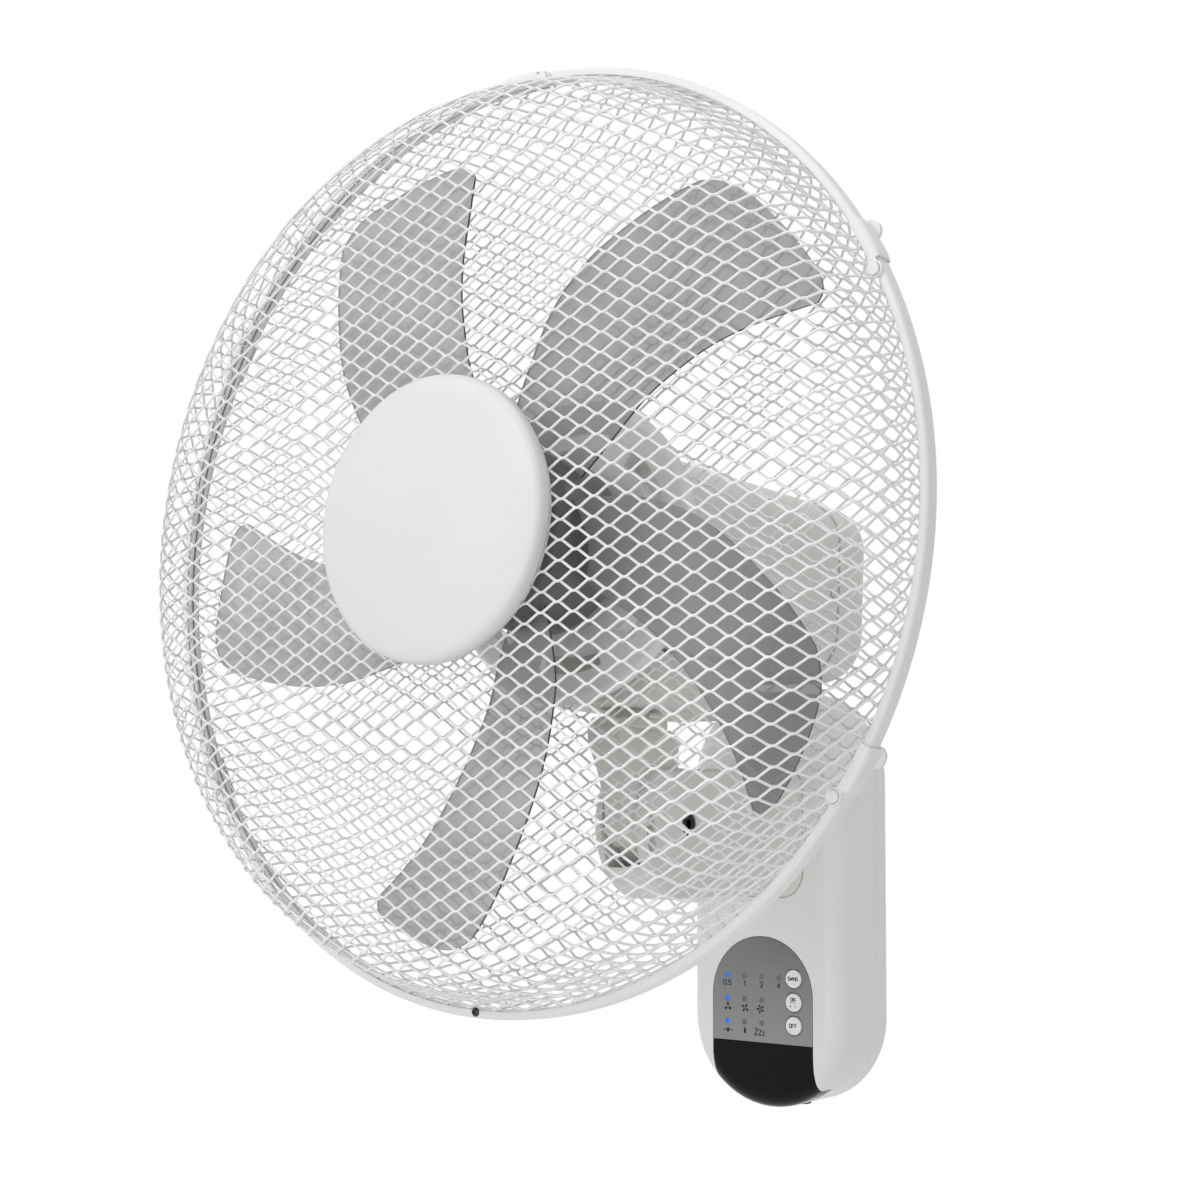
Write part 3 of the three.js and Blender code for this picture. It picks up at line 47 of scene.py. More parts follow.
# ---- frames: the wall, the tilting neck and the head
TILT_Y, TILT_Z = -140.06, 42.34
REST_TILT = math.radians(3.8)
WORLD = Matrix.Identity(4)
TILTED = Matrix.Translation((0, TILT_Y * MM, TILT_Z * MM)) @ Matrix.Rotation(-REST_TILT, 4, "X")
HEAD = TILTED @ Matrix.Translation((0, -0.130, 0.126))

def new_object(name, data):
    obj = bpy.data.objects.new(name, data)
    bpy.context.scene.collection.objects.link(obj)
    return obj

# ---- camera
camera = new_object("camera", bpy.data.cameras.new("camera"))
camera.location = (0.6217, -1.0044, 0.0693)
camera.rotation_euler = (math.radians(93.007), 0, math.radians(37.475))
camera.data.sensor_width = 36
camera.data.lens = 63
camera.data.shift_y = 0.05
camera.data.dof.use_dof = False
bpy.context.scene.camera = camera

# ---- materials
def linear(code, factor=1):
    """A colour code as linear red, green, blue and alpha, made lighter or darker by `factor`."""
    out = []
    for i in (0, 2, 4):
        c = int(code[i:i + 2], 16) / 255
        c = c / 12.92 if c <= 0.04045 else ((c + 0.055) / 1.055) ** 2.4
        out.append(min(1, c * factor))
    return (*out, 1)

class Nodes:
    """A material's node tree with calls to add, join and set nodes."""

    def __init__(self, name):
        self.material = bpy.data.materials.new(name)
        self.material.use_nodes = True
        self.tree = self.material.node_tree
        self.shader = self.tree.nodes["Principled BSDF"]
        self.coords = self.add("ShaderNodeTexCoord").outputs["Object"]

    def add(self, kind, **values):
        node = self.tree.nodes.new(kind)
        for key, value in values.items():
            if key in node.inputs:
                node.inputs[key].default_value = value
            else:
                setattr(node, key, value)
        return node

    def join(self, a, b):
        self.tree.links.new(a, b)

    def give(self, socket, value):
        """Sets a socket to a value, or joins another node's output to it."""
        if isinstance(value, bpy.types.NodeSocket):
            self.join(value, socket)
        else:
            socket.default_value = value

    def surface(self, **values):
        """Gives the shader's inputs, named with low lines for the spaces."""
        for key, value in values.items():
            self.give(self.shader.inputs[key.replace("_", " ")], value)

    def noise(self, scale, detail=3, roughness=0.5, coords=None):
        node = self.add("ShaderNodeTexNoise", Scale=scale, Detail=detail, Roughness=roughness)
        self.join(coords or self.coords, node.inputs["Vector"])
        return node.outputs["Fac"]

    def spread(self, value, low, high, a=0.3, b=0.7):
        """Maps a value between a and b to the range from low to high."""
        node = self.add("ShaderNodeMapRange")
        for key, number in (("From Min", a), ("From Max", b), ("To Min", low), ("To Max", high)):
            node.inputs[key].default_value = number
        self.join(value, node.inputs["Value"])
        return node.outputs["Result"]

    def mix(self, factor, a, b):
        node = self.add("ShaderNodeMix", data_type="RGBA", blend_type="MIX")
        for socket, value in ((node.inputs[0], factor), (node.inputs[6], a), (node.inputs[7], b)):
            self.give(socket, value)
        return node.outputs[2]

    def cloudy(self, cloud, a, b):
        """A colour that wanders between two others with a noise."""
        return self.mix(self.spread(cloud, 0, 1), a, b)

    def bump(self, height, strength, distance):
        node = self.add("ShaderNodeBump", Strength=strength, Distance=distance)
        self.join(height, node.inputs["Height"])
        self.surface(Normal=node.outputs["Normal"])

def plastic(name, code, rough=0.38, vary=0.035, grain=0.05, grain_scale=1400, spec=0.5, coat=0):
    m = Nodes(name)
    m.surface(Base_Color=m.cloudy(m.noise(9, 4), linear(code, 1 - vary), linear(code, 1 + vary)),
              Roughness=m.spread(m.noise(55, 3), rough - 0.05, rough + 0.06),
              Specular_IOR_Level=spec, Coat_Weight=coat, Coat_Roughness=0.12)
    m.bump(m.noise(grain_scale, 2, 0.6), grain, 0.0004)
    return m

def metal(name, code, rough=0.3, streak=0, vary=0.12):
    m = Nodes(name)
    coords = m.coords
    if streak:
        mapping = m.add("ShaderNodeMapping")
        mapping.inputs["Scale"].default_value = (1, streak, 1)
        m.join(m.coords, mapping.inputs["Vector"])
        coords = mapping.outputs["Vector"]
    cloud = m.noise(180, 5, 0.6, coords)
    m.surface(Base_Color=m.cloudy(cloud, linear(code, 1 - vary), linear(code, 1 + vary)),
              Roughness=m.spread(cloud, rough - 0.08, rough + 0.12), Metallic=1)
    m.bump(cloud, 0.12, 0.0003)
    return m

def wire_coating():
    m = Nodes("white_wire_coating")
    m.surface(Base_Color=m.cloudy(m.noise(40, 3), linear("EDEEEE", 0.97), linear("F0F1F1", 1.02)),
              Roughness=m.spread(m.noise(240, 2), 0.24, 0.38), Coat_Weight=0.15)
    m.bump(m.noise(520, 3, 0.6), 0.16, 0.0005)
    return m

def smoky_plastic_with_painted_shade():
    """See-through smoked plastic with painted shade that darkens it toward +X and downward."""
    m = Nodes("smoky_blade_plastic_painted_shade")
    smoke = m.cloudy(m.noise(7, 3), linear("A8AAAC", 0.95), linear("AEB0B2", 1.04))
    # Painted shade: the smoke colour turns to dark grey 7C7E80 toward +X and downward, for the blade at the
    # right that faces away from the lamps.
    reach = m.add("ShaderNodeVectorMath", operation="DOT_PRODUCT")
    reach.inputs[1].default_value = (0.94, 0, -0.34)
    m.join(m.coords, reach.inputs[0])
    painted_shade = m.spread(reach.outputs["Value"], 0, 1, 0.045, 0.11)
    m.surface(Base_Color=m.mix(painted_shade, smoke, linear("7C7E80")),
              Roughness=m.spread(m.noise(38, 4), 0.16, 0.3), Alpha=0.62,
              Coat_Weight=0.3, Coat_Roughness=0.1)
    m.bump(m.noise(24, 4, 0.65), 0.1, 0.004)
    return m

def metallic_panel():
    """Grey paint with fine flakes, lighter toward the foot of the panel."""
    m = Nodes("grey_metallic_panel")
    parts = m.add("ShaderNodeSeparateXYZ")
    m.join(m.coords, parts.inputs[0])
    height = m.spread(parts.outputs["Z"], 0, 1, -0.078, -0.018)
    flake = m.spread(m.noise(5200, 1), 0, 1, 0.35, 0.65)
    paint = m.mix(height, linear("8E9091"), linear("6E7072"))
    m.surface(Base_Color=m.mix(m.spread(flake, 0, 0.22, 0, 1), paint, linear("A6A8AA")),
              Metallic=0.35, Roughness=m.spread(m.noise(300, 2), 0.34, 0.44))
    return m

def lit_lamp():
    m = Nodes("lit_blue_lamp")
    m.surface(Base_Color=m.cloudy(m.noise(900, 1), linear("1C5FD0"), linear("2C7BEA")), Roughness=0.3,
              Emission_Color=linear("1E6BE0"), Emission_Strength=0.45)
    return m

def circuit_board():
    m = Nodes("circuit_board")
    cells = m.add("ShaderNodeTexVoronoi", Scale=260)
    m.join(m.coords, cells.inputs["Vector"])
    pads = m.spread(cells.outputs["Distance"], 0, 1, 0.05, 0.12)
    m.surface(Base_Color=m.mix(pads, linear("3E8A58"), linear("1E5A38")), Roughness=0.4)
    return m

WHITE = plastic("white_satin_plastic", "EDEEEC", rough=0.36)
# Painted shade: a darker, warmer copy of the white plastic for the motor shells, guard snout and support arm,
# which sit in shade.
SHELL_WITH_PAINTED_SHADE = plastic("head_shell_plastic_painted_shade", "DCDCD8", rough=0.42)
CAP = plastic("cap_plastic", "E2E3E2", rough=0.36)
NECK = plastic("neck_plastic", "D6D5CF", rough=0.5, grain=0.12)
BUTTON = plastic("button_plastic", "F2F3F3", rough=0.3, grain=0.02)
NYLON = plastic("gear_nylon", "EFEDE4", rough=0.45)
DARK = plastic("dark_plastic", "2B2C2E", rough=0.45, grain=0.1)
RUBBER = plastic("gland_rubber", "1B1B1C", rough=0.7, grain=0.25, grain_scale=900)
INK = plastic("label_ink", "141517", rough=0.6, grain=0)
STEEL = metal("zinc_steel", "B9BCBE", rough=0.3)
# Painted shade: the tilt pin's steel is made near black for the shade it sits in, sunk into the arm's sides.
STEEL_PAINTED_SHADE = metal("steel_painted_shade", "2A2B2C", rough=0.45)
LAMINATION = metal("motor_laminations", "74777A", rough=0.42, streak=14)
COPPER = metal("winding_copper", "A8663C", rough=0.38, streak=6)
ALLOY = metal("cast_alloy", "C2C4C6", rough=0.4)
WIRE = wire_coating()
SMOKE_WITH_PAINTED_SHADE = smoky_plastic_with_painted_shade()
# Painted shade: the blades' rim faces are near black for the dark line the smoked plastic shows when seen
# edge-on.
BLADE_EDGE_SHADE = plastic("blade_edge_painted_shade", "1F2021", rough=0.35, grain=0.03)
HUB = plastic("blade_hub_plastic", "5C5E60", rough=0.36, grain=0.03, coat=0.2)
PANEL = metallic_panel()
GLASS = plastic("receiver_black_gloss", "08080A", rough=0.07, vary=0.1, grain=0, spec=0.14)
LIT = lit_lamp()
UNLIT = plastic("unlit_lamp", "6E7173", rough=0.3, grain=0)
BOARD = circuit_board()

SLOTS = {
    "white_plastic": WHITE, "beige_plastic": NECK, "white_wire": WIRE, "smoke_plastic": SMOKE_WITH_PAINTED_SHADE,
    "grey_panel": PANEL, "black_gloss": GLASS, "black_plastic": DARK, "black_rubber": RUBBER,
    "light_pipe": UNLIT, "circuit_board": BOARD, "nylon": NYLON, "steel": STEEL,
    "core_steel": LAMINATION, "copper": COPPER, "bare_aluminium": ALLOY,
}
SLOT_OF = {entry["node"]: entry["material_slot"] for entry in frame["record"]["subparts"]}
for node, obj in frame["nodes"].items():
    for slot in obj.material_slots:
        slot.material = SLOTS[SLOT_OF[node]].material

# ---- mesh helpers (lengths in millimetres)
def piece(name, part, mats, body, place=WORLD, angle=32, replaces=True):
    """One visible piece: points in millimetres in its own frame, set in the shared frame by `place`."""
    verts, faces, *picks = part
    mesh = bpy.data.meshes.new(name)
    m = np.array(place)
    points = np.asarray(verts, dtype=float) * MM @ m[:3, :3].T + m[:3, 3]
    mesh.from_pydata([tuple(p) for p in points], [], [tuple(int(k) for k in f) for f in faces])
    mesh.validate()
    obj = new_object(name, mesh)
    for entry in mats if isinstance(mats, list) else [mats]:
        mesh.materials.append(entry.material)
    if picks and len(picks[0]) == len(mesh.polygons):
        mesh.polygons.foreach_set("material_index", picks[0])
    outward(mesh)
    smooth(mesh, angle)
    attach(obj, body)
    if replaces:
        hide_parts(name)
    return obj

def outward(mesh):
    bm = bmesh.new()
    bm.from_mesh(mesh)
    bmesh.ops.recalc_face_normals(bm, faces=bm.faces)
    bm.to_mesh(mesh)
    bm.free()

def smooth(mesh, angle):
    mesh.polygons.foreach_set("use_smooth", [True] * len(mesh.polygons))
    mesh.set_sharp_from_angle(angle=math.radians(angle))
    mesh.update()

def moved(part, matrix):
    """A form with its points moved by a matrix."""
    verts, faces, *picks = part
    return [tuple(matrix @ Vector(v)) for v in verts], faces, *picks

class Shape:
    """Points, faces and material picks gathered from several closed forms."""

    def __init__(self):
        self.verts, self.faces, self.picks = [], [], []

    def put(self, part, pick=0):
        verts, faces, *picks = part
        base = len(self.verts)
        self.verts.extend(verts)
        self.faces.extend([base + k for k in f] for f in faces)
        self.picks.extend(picks[0] if picks else [pick] * len(faces))

    def part(self):
        return self.verts, self.faces, self.picks

def loft(rings, joined=False):
    """Walls between equal rings, with flat ends or, if joined, a wall from the last to the first."""
    n, count = len(rings[0]), len(rings)
    faces = []
    for i in range(count if joined else count - 1):
        up = (i + 1) % count * n
        for j in range(n):
            k = (j + 1) % n
            faces.append([i * n + j, i * n + k, up + k, up + j])
    if not joined:
        faces.append(list(range(n))[::-1])
        faces.append([(count - 1) * n + k for k in range(n)])
    return [tuple(p) for ring in rings for p in ring], faces

def circle(radius, sides):
    turns = [2 * math.pi * k / sides for k in range(sides)]
    return [(radius * math.cos(a), radius * math.sin(a)) for a in turns]

def polar(radius, degrees):
    return radius * math.cos(math.radians(degrees)), radius * math.sin(math.radians(degrees))

def arc(cx, cz, r, a0, a1, steps):
    turns = [math.radians(a0 + (a1 - a0) * k / steps) for k in range(steps + 1)]
    return [(cx + r * math.cos(a), cz + r * math.sin(a)) for a in turns]

def quarter(steps):
    """(cosine, sine) pairs over a quarter turn."""
    turns = [math.pi / 2 * k / steps for k in range(steps + 1)]
    return [(math.cos(a), math.sin(a)) for a in turns]

def rounding(depth, start, length, direction, steps=7):
    """Insets and stations of a quarter-round between a side wall and an end face."""
    return [(depth * (1 - c), start + direction * length * s) for c, s in quarter(steps)]

def box_outline(left, right, low, high, corner, steps):
    """A rectangle's outline with round corners, counter-clockwise from its right side."""
    centres = [(right - corner, high - corner), (left + corner, high - corner),
               (left + corner, low + corner), (right - corner, low + corner)]
    out = []
    for turn, (u, v) in enumerate(centres):
        for i in range(steps + 1):
            a = math.pi / 2 * (turn + i / steps)
            out.append((u + corner * math.cos(a), v + corner * math.sin(a)))
    return out

def lathe(profile, sides):
    """A closed profile of (radius, y) turned about the Y axis; points on the axis become one point."""
    verts, rows = [], []
    for r, y in profile:
        start = len(verts)
        if r < ON_AXIS:
            verts.append((0, y, 0))
            rows.append([start] * sides)
        else:
            verts += [(x, y, z) for x, z in circle(r, sides)]
            rows.append(list(range(start, start + sides)))
    count = len(rows)
    faces = []
    for i in range(count if profile[0][0] > ON_AXIS else count - 1):
        p, q = rows[i], rows[(i + 1) % count]
        for k in range(sides):
            corners = list(dict.fromkeys([p[k], p[(k + 1) % sides], q[(k + 1) % sides], q[k]]))
            if len(corners) > 2:
                faces.append(corners)
    return verts, faces

def rounded(outline, radius, steps, turned=True):
    """A closed polygon with its corners rounded; a turned profile keeps its corners on the axis."""
    out = []
    for i, point in enumerate(outline):
        p, a, b = Vector(point), Vector(outline[i - 1]), Vector(outline[(i + 1) % len(outline)])
        if turned and p.x < ON_AXIS:
            out.append((0, p.y))
            continue
        reach = min(radius, (a - p).length * 0.45, (b - p).length * 0.45)
        s, e = p + (a - p).normalized() * reach, p + (b - p).normalized() * reach
        for k in range(steps + 1):
            t = k / steps
            q = s * (1 - t) ** 2 + p * 2 * t * (1 - t) + e * t * t
            out.append((q.x, q.y))
    return out

FROM_Y = {"Y": WORLD, "X": Matrix.Rotation(-math.pi / 2, 4, "Z"), "Z": Matrix.Rotation(math.pi / 2, 4, "X")}

def cylinder(radius, y0, y1, sides=32, axis="Y", at=(0, 0, 0), bevel=0):
    ends = [(radius, y0), (radius, y1)]
    if bevel:
        ends = [(radius - bevel, y0), (radius, y0 + bevel), (radius, y1 - bevel), (radius - bevel, y1)]
    rings = [[(x, y, z) for x, z in circle(r, sides)] for r, y in ends]
    return moved(loft(rings), Matrix.Translation(at) @ FROM_Y[axis])

def prism(outline, y0, y1):
    """An outline of (x, z) between two stations along Y."""
    return loft([[(x, y, z) for x, z in outline] for y in (y0, y1)])

def raw(name, part, place=WORLD):
    """A helper mesh for cutting, not a piece of the object."""
    verts, faces = part
    mesh = bpy.data.meshes.new(name)
    mesh.from_pydata([tuple(place @ (Vector(v) * MM)) for v in verts], [], [tuple(f) for f in faces])
    outward(mesh)
    return new_object(name, mesh)

def carve(obj, cutters, operation="DIFFERENCE", angle=36):
    """Cuts obj by the helper meshes and bakes the result, removing the helpers."""
    for cutter in cutters:
        mod = obj.modifiers.new("cut", "BOOLEAN")
        mod.operation, mod.object, mod.solver = operation, cutter, "EXACT"
    bake(obj, angle)
    for cutter in cutters:
        mesh = cutter.data
        bpy.data.objects.remove(cutter)
        bpy.data.meshes.remove(mesh)

def bake(obj, angle):
    graph = bpy.context.evaluated_depsgraph_get()
    fresh = bpy.data.meshes.new_from_object(obj.evaluated_get(graph))
    old = obj.data
    obj.modifiers.clear()
    obj.data = fresh
    bpy.data.meshes.remove(old)
    smooth(fresh, angle)

def soften(obj, width, segments, limit):
    """Bevels the edges that turn by more than `limit` degrees."""
    mod = obj.modifiers.new("soft", "BEVEL")
    mod.width, mod.segments, mod.limit_method = width * MM, segments, "ANGLE"
    mod.angle_limit = math.radians(limit)
    bake(obj, 32)

def eased(line, passes):
    """A row of values drawn smooth in place, with its ends held."""
    for _ in range(passes):
        line[1:-1] = (line[:-2] + 2 * line[1:-1] + line[2:]) / 4
    return line

# ---- wire guards
def dome(points, samples=400, rough_samples=60, passes=6):
    """A guard's profile as arc length, radius and depth, through rough (radius, depth) points."""
    pts = np.array(points, dtype=float)
    t = np.concatenate([[0], np.cumsum(np.hypot(*np.diff(pts, axis=0).T))])
    t /= t[-1]
    dense = np.linspace(0, 1, rough_samples)
    rough = eased(np.stack([np.interp(dense, t, pts[:, k]) for k in (0, 1)], 1), passes)
    length = np.concatenate([[0], np.cumsum(np.hypot(*np.diff(rough, axis=0).T))])
    grid = np.linspace(0, length[-1], samples)
    return grid, np.interp(grid, length, rough[:, 0]), np.interp(grid, length, rough[:, 1])

FRONT_DOME = dome([(58, 49.8), (70, 49.6), (110, 48.8), (150, 47.6), (178, 45.6), (192, 42.5), (202, 36),
                   (208, 27), (210.4, 17), (211.8, 10), (213.8, 5.2), (216.4, 2.6)])
REAR_DOME = dome([(68, 47.6), (100, 46.6), (135, 44.6), (165, 41), (184, 36.5), (197, 29), (206, 20),
                  (210, 13), (211.6, 8.5), (213.6, 4.6), (216.2, 1.8)])
NET_SPACING, NET_SLOPE = 7.85, 27
WIRE_RADIUS, WIRE_SIDES, WIRE_LIFT = 0.6, 5, 0.3
BEND, BEND_SPAN = 0.42, 0.16
END_GAP, RIM_GAP = 0.02, 1.5

def tubes(paths, normals, radius, sides):
    """Round wires along paths of points, with the given surface normals."""
    verts, faces = [], []
    base = 0
    for path, normal in zip(paths, normals):
        tangent = np.gradient(path, axis=0)
        tangent /= np.linalg.norm(tangent, axis=1)[:, None]
        side = np.cross(tangent, normal)
        side /= np.linalg.norm(side, axis=1)[:, None]
        up = np.cross(side, tangent)
        block = [(path + radius * (c * side + s * up))[:, None, :] for c, s in circle(1, sides)]
        verts.append(np.concatenate(block, axis=1).reshape(-1, 3))
        n = len(path)
        for i in range(n - 1):
            for k in range(sides):
                a, b = base + i * sides + k, base + i * sides + (k + 1) % sides
                faces.append((a, b, b + sides, a + sides))
        faces.append(tuple(base + k for k in range(sides))[::-1])
        faces.append(tuple(base + (n - 1) * sides + k for k in range(sides)))
        base += n * sides
    return np.concatenate(verts), faces

def wire_spans(c, inner, reach):
    """Where a straight wire at distance c from the axis runs between the inner and the outer edge."""
    half = math.sqrt(reach * reach - c * c)
    if abs(c) >= inner:
        return [(-half, half)]
    gap = math.sqrt(inner * inner - c * c)
    return [(-half, -gap), (gap, half)]

def stations(lo, hi):
    """Stations along a wire, counted in cells: four round each joint and one at each end."""
    marks = [n + d for n in range(math.floor(lo), math.ceil(hi) + 1)
             for d in (-BEND_SPAN, -BEND_SPAN / 2, BEND_SPAN / 2, BEND_SPAN)]
    return np.array([lo] + sorted(v for v in marks if lo + END_GAP < v < hi - END_GAP) + [hi])

def bends(phase):
    """Sideways bend of a wire at its stations: it steps from one side to the other through each joint."""
    off = phase - np.round(phase)
    size = np.abs(off)
    share = np.where(size < BEND_SPAN, np.sin(math.pi / 2 * size / BEND_SPAN),
                     (0.5 - size) / (0.5 - BEND_SPAN))
    return BEND * np.sign(off) * share

def laid(flat, profile, side, lift):
    """Points drawn flat as (x, z), laid over the dome by arc length, with the surface normals there."""
    grid, radii, depths = profile
    rho = np.hypot(flat[:, 0], flat[:, 1])
    s = rho - radii[0]
    r, d = np.interp(s, grid, radii), np.interp(s, grid, depths)
    nr, nd = -np.interp(s, grid, np.gradient(depths, grid)), np.interp(s, grid, np.gradient(radii, grid))
    ux, uz = flat[:, 0] / rho, flat[:, 1] / rho
    path = np.stack([(r + nr * lift) * ux, side * (d + nd * lift), (r + nr * lift) * uz], 1)
    return path, np.stack([nr * ux, side * nd, nr * uz], 1)

def net(profile, side):
    """Two families of wires crossing over the dome, each bent level where they are joined."""
    inner = profile[1][0]
    reach = inner + profile[0][-1]
    paths, normals = [], []
    for family in (1, -1):
        a = math.radians(NET_SLOPE * family)
        along, across = np.array([math.cos(a), math.sin(a)]), np.array([-math.sin(a), math.cos(a)])
        rate = math.sin(2 * a) / NET_SPACING
        count = int(reach / NET_SPACING) + 1
        for k in range(-count, count + 1):
            c = (k + 0.5) * NET_SPACING
            if abs(c) >= reach - RIM_GAP:
                continue
            start = c * math.cos(2 * a) / NET_SPACING - 0.5
            for t0, t1 in wire_spans(c, inner, reach):
                phase = stations(*sorted((start + rate * t0, start + rate * t1)))
                shift = c - bends(phase)
                flat = ((phase - start) / rate)[:, None] * along + shift[:, None] * across
                path, normal = laid(flat, profile, side, WIRE_LIFT * family)
                paths.append(path)
                normals.append(normal)
    return tubes(paths, normals, WIRE_RADIUS, WIRE_SIDES)

def hoop(radius, y, wire, around):
    return lathe([(radius + u, y + v) for u, v in circle(wire, 10)], around)

def guard(name, profile, side, rim_y):
    """A guard's net with one hoop at the ring and one round its open middle."""
    shape = Shape()
    shape.put(net(profile, side))
    shape.put(hoop(216.4, rim_y, 1.2, 180))
    shape.put(hoop(profile[1][0] + 0.5, side * profile[2][0], 1.7, 120))
    piece(name, shape.part(), WIRE, "head", HEAD, angle=70)

guard("front_guard", FRONT_DOME, -1, -2.3)
guard("rear_guard", REAR_DOME, 1, 1.3)

# clamp ring: a rolled channel with soft lips
RING_RADIUS = 220
ring_outline = [(216.2, -4.9), (219.1, -4.9), (RING_RADIUS, -3.7), (RING_RADIUS, 2.7), (219.1, 3.9),
                (216.2, 3.9), (216.2, 2.9), (218.8, 2.7), (218.8, -3.8), (216.2, -4)]
piece("guard_ring", lathe(rounded(ring_outline, 0.45, 3), 220), WHITE, "head", HEAD,
      angle=50)

# front cap: shallow disc with a soft rim, open at the back
CAP_Y = -51.5
cap_steps = [(0, 8.45), (30, 8.4), (54, 8.1), (61, 7.6), (63.4, 6.9), (64.5, 5.6), (64.9, 4), (64.9, 1),
             (64.5, 0.2), (62.4, 0), (62.2, 5), (0, 5.4)]
cap = lathe([(r, CAP_Y - depth) for r, depth in cap_steps], 160)
piece("front_cap", cap, CAP, "head", HEAD, angle=40)

# ---- clips
CLIP_PLACES = (30, 90, 150, 210, -30)
CLIP_START, CLIP_END, CLIP_STEPS = 1.2, 6.6, 14
CLIP_SKIN = 220.2
CLIP_SECTION = rounded([(215.8, -6.2), (219.4, -6.3), (220.9, -5.5), (221.5, -4), (221.5, 3.2),
                        (220.9, 4.6), (219.4, 5.3), (215.8, 5.2), (215.8, 4.3), (220.15, 4.3),
                        (220.15, -5.2), (215.8, -5.2)], 0.7, 3)

def clip_wrap(lo, hi):
    """The clip's channel over the ring, thinner at both ends."""
    rings = []
    for k in range(CLIP_STEPS + 1):
        a = lo + (hi - lo) * k / CLIP_STEPS
        taper = 1 - 0.35 * max(0, 1 - k / 2) - 0.5 * max(0, (k - CLIP_STEPS + 1.5) / 1.5)
        ring = []
        for r, y in CLIP_SECTION:
            x, z = polar(r if r < CLIP_SKIN + 0.1 else CLIP_SKIN + (r - CLIP_SKIN) * taper, a)
            ring.append((x, y, z))
        rings.append(ring)
    return loft(rings)

def set_at(radius, degrees):
    x, z = polar(radius, degrees)
    return Matrix.Translation((x, 0, z))

def clip(index, degrees):
    """One clip: its channel, the lug to its pivot, the thumb tab behind and the pivot disc in its eye."""
    pivot = degrees - 3.25
    lo, hi = pivot + CLIP_START, pivot + CLIP_END
    tab_turn = hi - 1.1
    shape = Shape()
    shape.put(clip_wrap(lo, hi))
    lug = [polar(r, a) for r, a in ((214.2, pivot), (218.4, pivot), (219.6, lo + 0.5), (215.9, lo + 0.5))]
    shape.put(prism(lug, -6.15, -5.2))
    tab = prism(arc(-0.2, 0.2, 4.9, -85, 80, 18) + [(-3.6, 4.6), (-3.6, -4.4)], 3.3, 5.1)
    shape.put(moved(tab, set_at(219.5, tab_turn) @ Matrix.Rotation(-math.radians(tab_turn), 4, "Y")))
    eye = set_at(216.4, pivot)
    shape.put(moved(lathe([(0, -7.5), (2.4, -7.5), (2.8, -7.1), (2.8, -5), (0, -5)], 32), eye))
    shape.put(moved(lathe([(3.05, -6.5), (3.5, -6.5), (3.8, -6.2), (3.8, -5), (3.05, -5)], 32), eye))
    stud = lathe([(0, -6.85), (0.5, -6.85), (0.8, -6.5), (0.8, -5.9), (0, -5.9)], 14)
    shape.put(moved(stud, set_at(215.6, pivot + 3.4)))
    piece(f"ring_clip_{index}", shape.part(), WHITE, f"clip_{index}", HEAD, angle=38)

for number, place in enumerate(CLIP_PLACES, 1):
    clip(number, place)

# ---- blades
def edge(points, samples=80, passes=8):
    """One run of a blade's edge as radii and smooth values, from (radius, value) points."""
    pts = np.array(points, dtype=float)
    radii = np.linspace(pts[0, 0], pts[-1, 0], samples)
    return radii, eased(np.interp(radii, pts[:, 0], pts[:, 1]), passes)

# angles in degrees and depths of both edges, by radius
TRAILING = edge([(38, 50), (58, 43), (77, 38.5), (90, 34.8), (105, 31.3), (119, 27.5), (130, 24.6), (150, 19),
                 (168, 14.6), (187, 9.8), (198, 7)])
LEADING = edge([(38, -1), (54, -1.7), (77, -1), (96, -2.1), (110, -3.6), (128, -5.5), (145, -7.7),
                (168, -11.2), (187, -13.9), (198, -15.4)])
LEADING_Y = edge([(38, 12), (54, 10.8), (77, 10), (96, 7.5), (128, 5.8), (168, 6.2), (187, 4.7), (198, 4)])
TRAILING_Y = edge([(38, -4), (77, -6), (105, -11.5), (130, -14.5), (150, -14.3), (187, -12), (198, -11)])
BLADE_COUNT, FIRST_BLADE = 5, 43
BLADE_ROOT, BLADE_TIP, TIP_DROP = 39, 192, 8
BLADE_THICK, BLADE_CAMBER = 2, 1.5
RADIAL, CHORDWISE = 44, 26

def blade_point(t, c, turn, offset):
    """A point of one blade's face: t from root to tip, c from the leading to the trailing edge."""
    tip = BLADE_TIP - TIP_DROP * abs(2 * c - 1) ** 7
    r = BLADE_ROOT + (tip - BLADE_ROOT) * t
    angle = math.radians(np.interp(r, *LEADING) * (1 - c) + np.interp(r, *TRAILING) * c)
    y = np.interp(r, *LEADING_Y) * (1 - c) + np.interp(r, *TRAILING_Y) * c
    y += BLADE_CAMBER * (1 - (2 * c - 1) ** 2)
    fade = min(1, 6 * min(c, 1 - c) + 0.6, 10 * (1 - t) + 0.45)
    a = angle + turn
    return r * math.cos(a), y + offset * BLADE_THICK / 2 * fade, r * math.sin(a)

def blade(turn):
    """One blade with its two faces in the first material and its rim in the second."""
    verts = [blade_point(i / RADIAL, j / CHORDWISE, turn, offset)
             for offset in (-1, 1) for i in range(RADIAL + 1) for j in range(CHORDWISE + 1)]
    w = CHORDWISE + 1
    size = (RADIAL + 1) * w
    faces = []
    for i in range(RADIAL):
        for j in range(CHORDWISE):
            a = i * w + j
            faces.append([a, a + w, a + w + 1, a + 1])
            faces.append([size + a, size + a + 1, size + a + w + 1, size + a + w])
    inside = len(faces)
    for i in range(RADIAL):
        for j in (0, CHORDWISE):
            a = i * w + j
            faces.append([a, size + a, size + a + w, a + w])
    for j in range(CHORDWISE):
        for i in (0, RADIAL):
            a = i * w + j
            faces.append([a, a + 1, size + a + 1, size + a])
    return verts, faces, [0] * inside + [1] * (len(faces) - inside)

